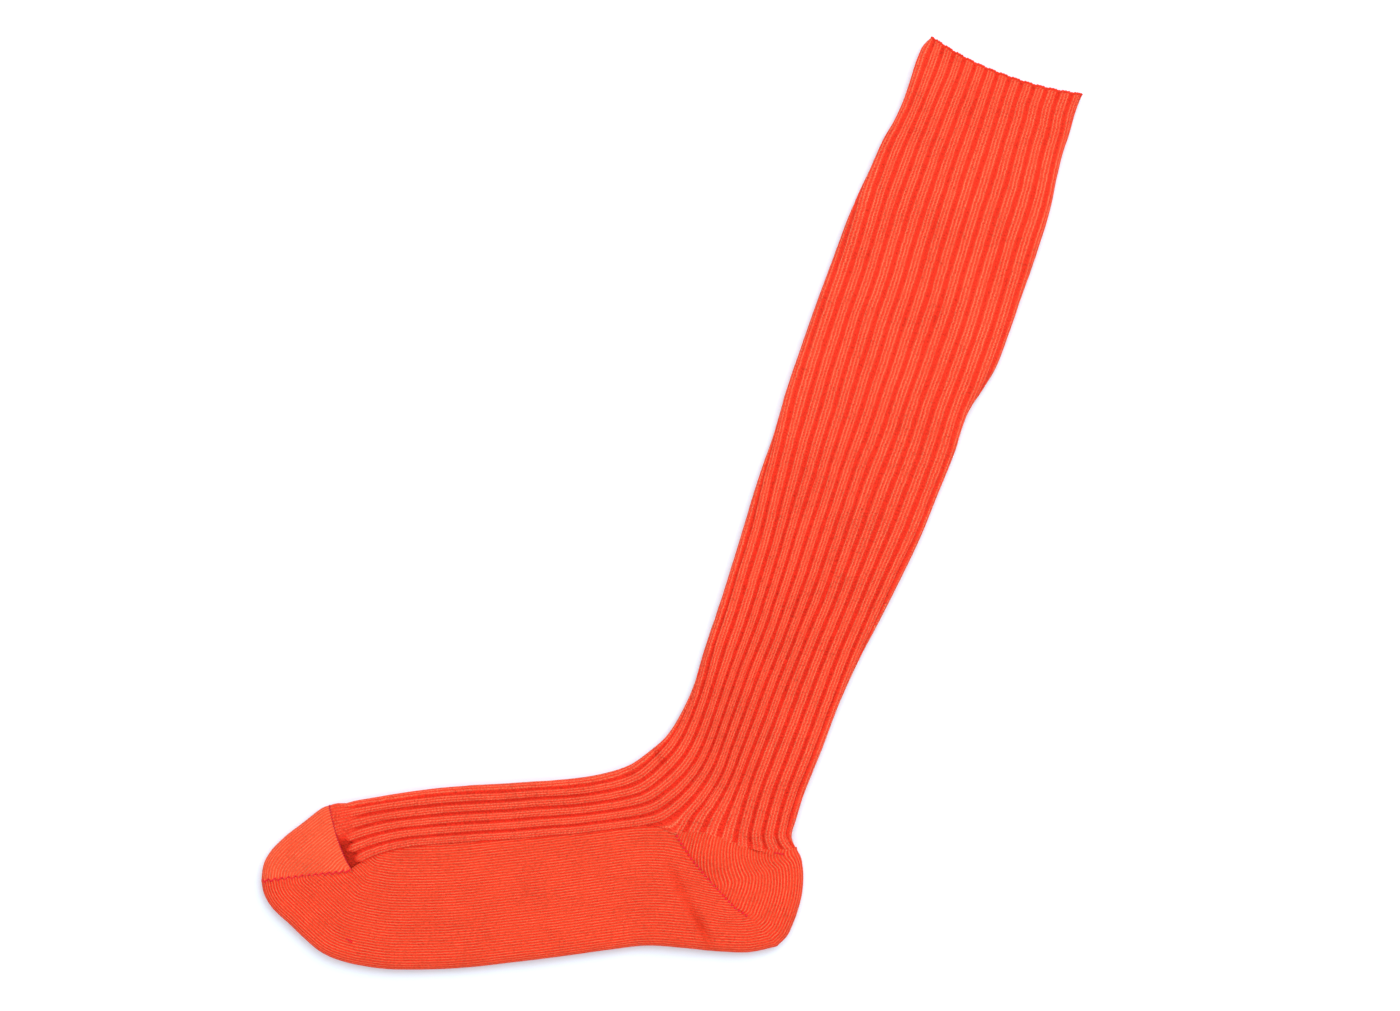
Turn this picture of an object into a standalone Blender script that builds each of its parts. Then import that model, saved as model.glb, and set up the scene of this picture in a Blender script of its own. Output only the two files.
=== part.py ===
"""Ribbed over-knee sock lying flat on its side.

The cuff opens towards +Y, the toe points to -X and down the page, and the
sock rests on the plane z = 0.  Lengths are in metres.

The sock is one flattened knitted tube.  A plan line runs across the tube
from the back fold to the front fold, and a closed loop of cloth is hung on
that line: over the top, round one fold, back underneath.  The leg uses
loops with two folds; the foot pieces use half loops with one fold, which
start and end on the line where two pieces meet.
"""

import math

import bmesh
import bpy
import numpy as np

# Driving sizes.
LEG_LENGTH = 0.370
CALF_WIDTH = 0.0845
FOOT_LENGTH = 0.240
FOOT_DEPTH = 0.069
FOOT_SLOPE = math.radians(20.0)

# Cloth and how far the two layers stand apart.
WALL = 0.0016
RIB_DEPTH = 0.0009
LEG_THICK = 0.0106
FOOT_THICK = 0.0112
FOLD_REACH = 0.0070
GAP = 0.0003
WELT_HEIGHT = 0.0022
WELT_WALL = 0.0022
SEAM_WIDTH = 0.0016
SEAM_SINK = 0.0004
POCKET_HEART = 0.0013

# Ribs are counted round the whole tube; rib 0 lies on the back fold of the
# ankle and rib 14 on its front fold.
RIB_COUNT = 28
SPLIT_RIB = 8.5
CREST_HALF = 0.28
VALLEY_HALF = 0.12

# Leg rows, cuff first.  Heights are shares of LEG_LENGTH above the point
# where ribs, heel and sole meet; widths are shares of CALF_WIDTH from it.
# "split" is the line of rib 8.5, where instep ribs part from heel ribs,
# "turn" is how many ribs have wandered round the back fold, and "sag" is
# how far the row dips in its middle, a share of LEG_LENGTH.
LEG_COLUMNS = ("front_x", "front_y", "split_x", "split_y", "back_x", "back_y", "turn", "sag")
LEG_ROWS = (
    (-0.190, 1.0000, 0.080, 0.9990, 0.681, 0.9980, 2.60, 0.0075),
    (-0.206, 0.9560, 0.100, 0.9560, 0.682, 0.9560, 2.40, 0.0040),
    (-0.209, 0.9050, 0.110, 0.9050, 0.692, 0.9050, 2.25, 0.0015),
    (-0.229, 0.8600, 0.120, 0.8600, 0.718, 0.8600, 2.20, 0.0000),
    (-0.258, 0.7700, 0.128, 0.7700, 0.736, 0.7700, 2.10, 0.0000),
    (-0.263, 0.6600, 0.130, 0.6600, 0.739, 0.6600, 1.85, 0.0000),
    (-0.263, 0.6080, 0.115, 0.6080, 0.689, 0.6080, 1.30, 0.0000),
    (-0.256, 0.5200, 0.110, 0.5200, 0.686, 0.5200, 1.15, 0.0000),
    (-0.237, 0.4150, 0.102, 0.4150, 0.664, 0.4150, 1.02, 0.0000),
    (-0.208, 0.2950, 0.090, 0.2950, 0.600, 0.2950, 0.80, 0.0000),
    (-0.196, 0.2250, 0.075, 0.2250, 0.572, 0.2250, 0.40, 0.0000),
    (-0.183, 0.1620, 0.066, 0.1600, 0.566, 0.1620, 0.10, 0.0000),
    (-0.206, 0.1240, 0.066, 0.1050, 0.559, 0.1180, 0.00, 0.0000),
    (-0.226, 0.1020, 0.059, 0.0520, 0.557, 0.0800, 0.00, 0.0000),
    (-0.251, 0.0838, 0.000, 0.0000, 0.585, 0.0435, 0.00, 0.0000),
)

# Foot rows from the ankle crease to the toe seam.  Shares of FOOT_LENGTH
# towards the toe and of FOOT_DEPTH upwards, in the foot's own slanted frame,
# for the top edge, the rib and sole border, and the bottom edge.
FOOT_COLUMNS = ("top_u", "top_v", "border_u", "border_v", "bottom_u", "bottom_v", "thick")
FOOT_ROWS = (
    (0.039, 0.5270, 0.000, 0.0000, -0.188, -0.7460, 1.00),
    (0.076, 0.4600, 0.034, 0.0385, -0.090, -0.7540, 1.00),
    (0.116, 0.3970, 0.080, 0.0290, 0.020, -0.7090, 1.00),
    (0.172, 0.3500, 0.132, 0.0130, 0.082, -0.7180, 1.00),
    (0.240, 0.3250, 0.200, -0.0130, 0.158, -0.7430, 1.00),
    (0.315, 0.3100, 0.282, -0.0390, 0.244, -0.7850, 1.00),
    (0.460, 0.2760, 0.424, -0.0770, 0.398, -0.8640, 1.00),
    (0.518, 0.2640, 0.486, -0.0900, 0.460, -0.8680, 1.00),
    (0.574, 0.2380, 0.536, -0.1150, 0.514, -0.8680, 0.99),
    (0.614, 0.2120, 0.573, -0.1500, 0.546, -0.8640, 0.98),
    (0.645, 0.1850, 0.599, -0.2190, 0.566, -0.8550, 0.98),
)

# Edges of the fan pieces, as shares like those above.  Heel and toe rows
# run from their seam with the ribs round to the mitre line.
HEEL_EDGE = (
    (-0.2250, -0.0750),
    (-0.2350, -0.1750),
    (-0.2350, -0.3000),
    (-0.2325, -0.4200),
    (-0.2290, -0.5300),
    (-0.2220, -0.6300),
    (-0.2090, -0.7080),
    (-0.1880, -0.7460),
)
TOE_EDGE = (
    (0.6450, 0.1850),
    (0.6760, 0.1280),
    (0.7060, 0.0450),
    (0.7350, -0.0500),
    (0.7540, -0.1500),
    (0.7640, -0.2300),
    (0.7655, -0.2950),
)
TOE_UNDER_EDGE = (
    (0.6120, -0.8300),
    (0.6520, -0.7480),
    (0.6890, -0.6350),
    (0.7200, -0.5200),
    (0.7450, -0.4150),
    (0.7655, -0.2950),
)

HEEL_BULGE = 0.0022
TOE_BULGE = 0.0014
SOLE_BULGE = 0.0006

HEEL_COLUMNS = 18
SOLE_COLUMNS = 18
TOE_COLUMNS = 16
WELT_COLUMNS = 56
FLAT_STEPS = 48
FOLD_STEPS = 18


def clear_scene():
    """Remove every object that is already there."""
    for obj in list(bpy.data.objects):
        bpy.data.objects.remove(obj, do_unlink=True)


def cloth_material(name, colour, roughness):
    """A plain knitted-cotton colour for one piece."""
    mat = bpy.data.materials.new(name)
    mat.use_nodes = True
    shader = mat.node_tree.nodes["Principled BSDF"]
    shader.inputs["Base Color"].default_value = (*colour, 1.0)
    shader.inputs["Roughness"].default_value = roughness
    return mat


def foot_point(u_share, v_share):
    """Plan point of a foot share pair, turned down by FOOT_SLOPE."""
    along = u_share * FOOT_LENGTH
    up = v_share * FOOT_DEPTH
    cos_a = math.cos(FOOT_SLOPE)
    sin_a = math.sin(FOOT_SLOPE)
    return np.array([-along * cos_a - up * sin_a, -along * sin_a + up * cos_a])


def ankle_front():
    """Front fold at the ankle crease, the leg table's last row."""
    row = dict(zip(LEG_COLUMNS, LEG_ROWS[-1]))
    return np.array([row["front_x"] * CALF_WIDTH, row["front_y"] * LEG_LENGTH])


def ankle_back():
    """Back fold above the heel pocket, the leg table's last row."""
    row = dict(zip(LEG_COLUMNS, LEG_ROWS[-1]))
    return np.array([row["back_x"] * CALF_WIDTH, row["back_y"] * LEG_LENGTH])


def toe_corner():
    """Plan point where instep, toe pocket and sole meet."""
    row = dict(zip(FOOT_COLUMNS, FOOT_ROWS[-1]))
    return foot_point(row["border_u"], row["border_v"])


def unit(vector):
    """The same direction with length one."""
    return vector / np.linalg.norm(vector)


def loop_path(length, thick, bulge, folds):
    """One section of cloth as (distance, height, normal, run) arrays.

    With two folds the loop starts on the fold at distance 0, goes over the
    top to the fold at `length` and returns underneath.  With one fold it
    starts flat on the border at distance 0 and ends flat below it.  Each
    fold is half an ellipse, FOLD_REACH deep and `thick` high; the top may
    swell by `bulge` halfway along.  "run" is the length of cloth so far.
    """
    reach = min(FOLD_REACH, 0.42 * length)
    half = 0.5 * thick
    angles = np.linspace(0.0, 0.5 * math.pi, FOLD_STEPS)
    rising_d = reach * (1.0 - np.cos(angles))
    rising_z = half * np.sin(angles)
    start = reach if folds == 2 else 0.0
    flat_d = np.linspace(start, length - reach, FLAT_STEPS)
    flat_z = np.full(FLAT_STEPS, half)
    fall_d = length - rising_d[::-1]
    fall_z = rising_z[::-1]
    if folds == 2:
        upper_d = np.concatenate([rising_d[:-1], flat_d, fall_d[1:]])
        upper_z = np.concatenate([rising_z[:-1], flat_z, fall_z[1:]])
    else:
        upper_d = np.concatenate([flat_d, fall_d[1:]])
        upper_z = np.concatenate([flat_z, fall_z[1:]])
    swell = bulge * np.sin(math.pi * upper_d / length) ** 2
    top = half + upper_z + swell
    bottom = half - upper_z
    dist = np.concatenate([upper_d, upper_d[::-1][1:]])
    height = np.concatenate([top, bottom[::-1][1:]])
    run = np.concatenate([[0.0], np.cumsum(np.hypot(np.diff(dist), np.diff(height)))])
    slope_d = np.gradient(dist, run)
    slope_z = np.gradient(height, run)
    if folds == 2:
        slope_d[0] = 0.0
        slope_d[-1] = 0.0
        slope_z[0] = 1.0
        slope_z[-1] = 1.0
    size = np.hypot(slope_d, slope_z)
    normal = np.stack([-slope_z / size, slope_d / size], axis=1)
    return dist, height, normal, run


def place(path, runs, plan, offset):
    """Loop points at given cloth lengths, pushed along the normal.

    `plan` turns a distance along the section into a plan point and a plan
    direction; `offset` is one number or one per point, outward positive.
    """
    dist, height, normal, run = path
    d = np.interp(runs, run, dist)
    z = np.interp(runs, run, height)
    nd = np.interp(runs, run, normal[:, 0])
    nz = np.interp(runs, run, normal[:, 1])
    size = np.hypot(nd, nz)
    points = np.empty((len(runs), 3))
    for i in range(len(runs)):
        push = offset[i] / size[i]
        spot, heading = plan(d[i])
        points[i, :2] = spot + heading * nd[i] * push
        points[i, 2] = z[i] + nz[i] * push
    return points


def straight_plan(start, end):
    """Plan line from `start` to `end`, by distance from the start."""
    heading = unit(end - start)

    def plan(distance):
        return start + heading * distance, heading

    return plan, float(np.linalg.norm(end - start))


def bent_plan(back, split, front, sag):
    """Plan line back - split - front with a dip of `sag` in its middle."""
    first = float(np.linalg.norm(split - back))
    second = float(np.linalg.norm(front - split))
    total = first + second
    lead = unit(split - back)
    trail = unit(front - split)

    def plan(distance):
        share = min(max(distance / total, 0.0), 1.0)
        dip = np.array([0.0, -4.0 * sag * share * (1.0 - share)])
        if distance <= first:
            return back + lead * distance + dip, lead
        return split + trail * (distance - first) + dip, trail

    return plan, total, first


def rib_columns(first, last):
    """Rib numbers of the mesh columns: crest edges and valley edges."""
    columns = []
    for rib in range(first, last):
        columns += [rib - CREST_HALF, rib + CREST_HALF]
        columns += [rib + 0.5 - VALLEY_HALF, rib + 0.5 + VALLEY_HALF]
    return np.array(columns)


def rib_relief(columns):
    """Outer offset of each column: zero on crests, -RIB_DEPTH in valleys."""
    phase = np.abs(columns - np.round(columns))
    depth = np.clip((phase - CREST_HALF) / (0.5 - VALLEY_HALF - CREST_HALF), 0.0, 1.0)
    return -RIB_DEPTH * depth


def add_solid(name, outer, inner, ring, material):
    """Closed shell between two grids of points shaped (row, column, xyz).

    `ring` joins the last column to the first; otherwise both side borders
    are closed by a strip between the outer and the inner grid.
    """
    rows, cols = outer.shape[:2]
    mesh = bpy.data.meshes.new(name)
    bm = bmesh.new()
    out = [[bm.verts.new(outer[i, j]) for j in range(cols)] for i in range(rows)]
    ins = [[bm.verts.new(inner[i, j]) for j in range(cols)] for i in range(rows)]
    span = cols if ring else cols - 1
    for j in range(span):
        k = (j + 1) % cols
        for i in range(rows - 1):
            bm.faces.new((out[i][j], out[i][k], out[i + 1][k], out[i + 1][j]))
            bm.faces.new((ins[i][j], ins[i + 1][j], ins[i + 1][k], ins[i][k]))
        bm.faces.new((out[0][j], ins[0][j], ins[0][k], out[0][k]))
        bm.faces.new((out[-1][j], out[-1][k], ins[-1][k], ins[-1][j]))
    if not ring:
        for i in range(rows - 1):
            bm.faces.new((out[i][0], out[i + 1][0], ins[i + 1][0], ins[i][0]))
            bm.faces.new((out[i][-1], ins[i][-1], ins[i + 1][-1], out[i + 1][-1]))
    bmesh.ops.recalc_face_normals(bm, faces=bm.faces)
    for face in bm.faces:
        face.smooth = True
    bm.to_mesh(mesh)
    bm.free()
    mesh.materials.append(material)
    obj = bpy.data.objects.new(name, mesh)
    bpy.context.scene.collection.objects.link(obj)
    return obj


def leg_section(row):
    """Plan line, cloth loop and rib anchors of one leg table row."""
    back = np.array([row["back_x"] * CALF_WIDTH, row["back_y"] * LEG_LENGTH])
    split = np.array([row["split_x"] * CALF_WIDTH, row["split_y"] * LEG_LENGTH])
    front = np.array([row["front_x"] * CALF_WIDTH, row["front_y"] * LEG_LENGTH])
    plan, total, first = bent_plan(back, split, front, row["sag"] * LEG_LENGTH)
    path = loop_path(total, LEG_THICK, 0.0, 2)
    dist, _, _, run = path
    middle = int(np.argmax(dist))
    over = float(np.interp(first, dist[:middle + 1], run[:middle + 1]))
    return plan, path, over, float(run[-1])


def rib_run(columns, turn, over, total):
    """Cloth length of each rib number round a two-fold loop."""
    even = SPLIT_RIB / RIB_COUNT * total
    share = min(turn, 1.0)
    anchor = even * share + over * (1.0 - share)
    marks = (0.0, SPLIT_RIB, 0.5 * RIB_COUNT, RIB_COUNT - SPLIT_RIB, RIB_COUNT)
    runs = (0.0, anchor, 0.5 * total, total - anchor, total)
    return np.interp((columns + turn) % RIB_COUNT, marks, runs)


def build_leg(material):
    """Ribbed tube from the welt down to the ankle crease and heel top."""
    columns = rib_columns(0, RIB_COUNT)
    relief = rib_relief(columns)
    outer = []
    inner = []
    last = len(LEG_ROWS) - 1
    for index, values in enumerate(LEG_ROWS):
        row = dict(zip(LEG_COLUMNS, values))
        plan, path, over, total = leg_section(row)
        runs = rib_run(columns, row["turn"], over, total)
        ring_out = place(path, runs, plan, relief)
        ring_in = place(path, runs, plan, relief - WALL)
        shift = 0.0
        if index == 0:
            shift = -(WELT_HEIGHT + GAP)
        if index == last:
            shift = GAP / math.cos(math.radians(55.0))
        ring_out[:, 1] += shift
        ring_in[:, 1] += shift
        outer.append(ring_out)
        inner.append(ring_in)
    return add_solid("leg", np.array(outer), np.array(inner), True, material)


def build_welt(material):
    """Thin knitted edge round the opening, above the first rib row."""
    row = dict(zip(LEG_COLUMNS, LEG_ROWS[0]))
    plan, path, over, total = leg_section(row)
    runs = np.arange(WELT_COLUMNS) / WELT_COLUMNS * total
    drops = (WELT_HEIGHT, 0.3 * WELT_HEIGHT, 0.0)
    skins = (-0.5 * RIB_DEPTH, -0.2 * RIB_DEPTH, -0.6 * RIB_DEPTH)
    walls = (WELT_WALL, WELT_WALL, 0.7 * WELT_WALL)
    outer = []
    inner = []
    for drop, skin, wall in zip(drops, skins, walls):
        ring_out = place(path, runs, plan, np.full(WELT_COLUMNS, skin))
        ring_in = place(path, runs, plan, np.full(WELT_COLUMNS, skin - wall))
        ring_out[:, 1] -= drop
        ring_in[:, 1] -= drop
        outer.append(ring_out)
        inner.append(ring_in)
    return add_solid("welt", np.array(outer), np.array(inner), True, material)


def half_loop(start, end, thick, bulge, shares, offset, wall):
    """Outer and inner points of a one-fold section from `start` to `end`.

    `shares` runs 0 to 1 from the upper border to the fold and 1 to 2 from
    the fold to the lower border.
    """
    plan, length = straight_plan(start, end)
    path = loop_path(length, thick, bulge, 1)
    dist, _, _, run = path
    fold = float(run[int(np.argmax(dist))])
    runs = np.interp(shares, (0.0, 1.0, 2.0), (0.0, fold, float(run[-1])))
    return place(path, runs, plan, offset), place(path, runs, plan, offset - wall)


def foot_rows():
    """Foot table rows as plan points of top edge, border and bottom edge."""
    rows = []
    for index, values in enumerate(FOOT_ROWS):
        row = dict(zip(FOOT_COLUMNS, values))
        top = foot_point(row["top_u"], row["top_v"])
        if index == 0:
            top = ankle_front()
        border = foot_point(row["border_u"], row["border_v"])
        bottom = foot_point(row["bottom_u"], row["bottom_v"])
        rows.append((top, border, bottom, row["thick"] * FOOT_THICK))
    return rows


def trimmed(start, end, amount):
    """Start point moved towards `end` by `amount`."""
    return start + unit(end - start) * amount


def side_step(start, end, towards, amount):
    """Shift that moves a section sideways, towards a given plan point."""
    heading = unit(end - start)
    across = np.array([-heading[1], heading[0]])
    if float(np.dot(across, towards - start)) < 0.0:
        across = -across
    return across * amount


def ankle_thick(share):
    """Height of the flattened ankle, from leg to foot."""
    return LEG_THICK + (FOOT_THICK - LEG_THICK) * share


def build_instep(material):
    """Eleven ribs over the top of the foot, ankle crease to toe seam."""
    columns = np.concatenate([
        [SPLIT_RIB, SPLIT_RIB + VALLEY_HALF],
        rib_columns(9, 19),
        [19.0 - CREST_HALF, 19.0 + CREST_HALF],
        [RIB_COUNT - SPLIT_RIB - VALLEY_HALF, RIB_COUNT - SPLIT_RIB],
    ])
    relief = rib_relief(columns)
    shares = (columns - SPLIT_RIB) / (14.0 - SPLIT_RIB)
    rows = foot_rows()
    outer = []
    inner = []
    for index, (top, border, _, thick) in enumerate(rows):
        if index == 0:
            step = side_step(border, top, rows[1][0], GAP)
            thick = ankle_thick(0.3)
        elif index == len(rows) - 1:
            step = side_step(border, top, rows[-2][0], GAP + 0.5 * SEAM_WIDTH)
        else:
            step = np.zeros(2)
        start = trimmed(border, top, 0.5 * GAP + POCKET_HEART * (index == 0))
        ring = half_loop(start + step, top + step, thick, 0.0, shares, relief, WALL)
        outer.append(ring[0])
        inner.append(ring[1])
    return add_solid("instep", np.array(outer), np.array(inner), False, material)


def fold_shares(count):
    """Even steps over and under, drawn closer together at the fold."""
    even = np.linspace(-1.0, 1.0, count)
    return 1.0 + even * (0.45 + 0.55 * np.abs(even))


def fan(heart, edges, thick, bulge, columns, first_step, last_step):
    """Grids of a pocket whose sections all start close to one point.

    The first and last sections are moved inwards by the given amounts so
    that neighbours keep clear of each other.
    """
    shares = fold_shares(columns)
    plain = np.zeros(columns)
    outer = []
    inner = []
    for index, edge in enumerate(edges):
        step = np.zeros(2)
        if index == 0:
            step = side_step(heart, edge, edges[1], first_step)
        if index == len(edges) - 1:
            step = side_step(heart, edge, edges[-2], last_step)
        start = trimmed(heart, edge, POCKET_HEART)
        swell = bulge * math.sin(math.pi * index / (len(edges) - 1))
        ring = half_loop(start + step, edge + step, thick, swell, shares, plain, WALL)
        outer.append(ring[0])
        inner.append(ring[1])
    return outer, inner


def build_heel(material):
    """Heel pocket from the heel-top line round to the mitre line."""
    heart = foot_point(0.0, 0.0)
    edges = [foot_point(*pair) for pair in HEEL_EDGE]
    edges[0] = 0.5 * (ankle_back() + foot_point(*HEEL_EDGE[0]))
    edges.insert(0, ankle_back())
    outer, inner = fan(heart, edges, ankle_thick(0.6), HEEL_BULGE, HEEL_COLUMNS, GAP, 0.5 * GAP)
    return add_solid("heel", np.array(outer), np.array(inner), False, material)


def build_sole(material):
    """Plain underfoot from the heel mitre to the tip of the toe."""
    shares = fold_shares(SOLE_COLUMNS)
    plain = np.zeros(SOLE_COLUMNS)
    rows = foot_rows()
    corner = toe_corner()
    sections = [(border, bottom, thick) for _, border, bottom, thick in rows]
    tail = rows[-1][3]
    sections += [(corner, foot_point(*pair), tail) for pair in TOE_UNDER_EDGE]
    outer = []
    inner = []
    last = len(sections) - 1
    for index, (border, edge, thick) in enumerate(sections):
        step = np.zeros(2)
        cut = 0.5 * GAP
        if index == 0:
            step = side_step(border, edge, sections[1][1], 0.5 * GAP)
            cut = POCKET_HEART
        if index >= len(rows) - 1:
            cut = POCKET_HEART
        if index == last:
            step = side_step(border, edge, sections[-2][1], 0.5 * GAP)
        start = trimmed(border, edge, cut)
        ring = half_loop(start + step, edge + step, thick, SOLE_BULGE, shares, plain, WALL)
        outer.append(ring[0])
        inner.append(ring[1])
    return add_solid("sole", np.array(outer), np.array(inner), False, material)


def build_toe(material):
    """Toe pocket from the linking seam round to the toe mitre line."""
    heart = toe_corner()
    edges = [foot_point(*pair) for pair in TOE_EDGE]
    thick = foot_rows()[-1][3]
    seam = GAP + 0.5 * SEAM_WIDTH
    outer, inner = fan(heart, edges, thick, TOE_BULGE, TOE_COLUMNS, seam, 0.5 * GAP)
    return add_solid("toe", np.array(outer), np.array(inner), False, material)


def build_toe_seam(material):
    """Narrow sunken strip that links the instep to the toe pocket."""
    top, border, _, thick = foot_rows()[-1]
    shares = fold_shares(TOE_COLUMNS)
    sunk = np.full(TOE_COLUMNS, -SEAM_SINK)
    outer = []
    inner = []
    for side in (-0.5, 0.5):
        step = side_step(border, top, foot_point(0.0, 0.0), side * SEAM_WIDTH)
        start = trimmed(border, top, POCKET_HEART)
        ring = half_loop(start + step, top + step, thick, 0.0, shares, sunk, WALL)
        outer.append(ring[0])
        inner.append(ring[1])
    return add_solid("toe_seam", np.array(outer), np.array(inner), False, material)


def centre_on_floor(pieces):
    """Shift all meshes so the bounding box stands centred on the origin."""
    spots = np.array([v.co for obj in pieces for v in obj.data.vertices])
    low = spots.min(axis=0)
    high = spots.max(axis=0)
    middle = 0.5 * (low + high)
    for obj in pieces:
        for vertex in obj.data.vertices:
            vertex.co.x -= middle[0]
            vertex.co.y -= middle[1]
            vertex.co.z -= low[2]


def main():
    """Build every piece of the sock and stand it on the origin."""
    clear_scene()
    rib = cloth_material("ribbed_cotton", (0.89, 0.082, 0.037), 0.85)
    plain = cloth_material("plain_cotton", (0.88, 0.088, 0.040), 0.88)
    thread = cloth_material("seam_thread", (0.60, 0.030, 0.055), 0.80)
    pieces = [
        build_welt(rib),
        build_leg(rib),
        build_instep(rib),
        build_heel(plain),
        build_sole(plain),
        build_toe(plain),
        build_toe_seam(thread),
    ]
    centre_on_floor(pieces)


main()
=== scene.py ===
"""Looks of a long ribbed cotton sock that lies flat on its side.

The sock is one flattened knitted tube.  Every piece is a family of sections:
a section is a plan line across the tube with a loop of cloth hung over it,
which runs over the top, round a fold and back underneath.  Plan places are
counted from the meeting point of leg ribs, heel and sole, with +Y up the leg
and the toe towards -X.
"""

import enum
import logging
import math
from dataclasses import dataclass, field, replace
from typing import Any, NamedTuple, Sequence

import bpy
import mathutils
import numpy as np
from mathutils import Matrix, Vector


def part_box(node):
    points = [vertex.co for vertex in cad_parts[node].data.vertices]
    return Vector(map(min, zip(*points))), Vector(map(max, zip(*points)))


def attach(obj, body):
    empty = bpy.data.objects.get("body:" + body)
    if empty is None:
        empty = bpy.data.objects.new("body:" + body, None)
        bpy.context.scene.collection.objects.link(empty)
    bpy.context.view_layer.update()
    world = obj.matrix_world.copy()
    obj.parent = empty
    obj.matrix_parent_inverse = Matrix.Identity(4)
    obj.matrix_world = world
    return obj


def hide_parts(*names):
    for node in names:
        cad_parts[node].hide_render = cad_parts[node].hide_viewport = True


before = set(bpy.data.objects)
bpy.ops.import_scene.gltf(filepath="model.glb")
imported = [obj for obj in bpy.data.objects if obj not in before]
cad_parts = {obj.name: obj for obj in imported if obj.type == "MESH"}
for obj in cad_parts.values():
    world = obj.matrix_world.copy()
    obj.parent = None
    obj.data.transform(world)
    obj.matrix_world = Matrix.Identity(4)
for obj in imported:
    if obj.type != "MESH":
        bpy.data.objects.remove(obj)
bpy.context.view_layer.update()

LOG = logging.getLogger("sock")
MM = 0.001
BODY = "root"

# Ribs are counted round the tube from the middle of its heel side.  A rib
# number that ends in .5 is a valley.
RIB_COUNT = 28
HEEL_RIB = 4.5
SPLIT_RIB = 8.0
BORDER_RIB = 8.5
INSTEP_RIB = 10.5
HIGH_RIB = 13.5
WALES_PER_RIB = 4
SAMPLES_PER_RIB = 16

# Points of a plan line, steps of a loop's flat stretch and of its fold.
LINE_POINTS = 25
FLAT_STEPS = 60
FOLD_STEPS = 14

# A fold's greatest reach, as a share of the plan line's length.
FOLD_SHARE = 0.45


@dataclass(frozen=True)
class SockSizes:
    """Driving sizes of the sock, in metres."""

    leg_length: float = 370 * MM
    calf_width: float = 84.5 * MM
    foot_length: float = 240 * MM
    foot_depth: float = 69 * MM
    foot_slope: float = math.radians(20.0)
    thick: float = 9.0 * MM
    fold_reach: float = 5.2 * MM
    wall: float = 1.3 * MM
    rib_depth: float = 1.65 * MM
    calf_rib_depth: float = 0.60 * MM
    wale_ripple: float = 0.10 * MM
    plain_ripple: float = 0.045 * MM
    rib_course: float = 1.33 * MM
    plain_course: float = 1.29 * MM
    sole_wale: float = 1.20 * MM
    heel_wale: float = 1.33 * MM
    toe_wale: float = 1.25 * MM
    welt_height: float = 1.5 * MM

    def meeting_point(self) -> np.ndarray:
        """Where ribs, heel and sole meet, worked out from the CAD boxes.

        Returns:
            The plan point in the shared frame.
        """
        leg_low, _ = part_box("leg")
        _, welt_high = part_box("welt")
        return np.array([leg_low[0] + CALF_FRONT * self.calf_width, welt_high[1] - self.leg_length])


CALF_FRONT = 0.263
SIZES = SockSizes()
MEETING = SIZES.meeting_point()

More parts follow.
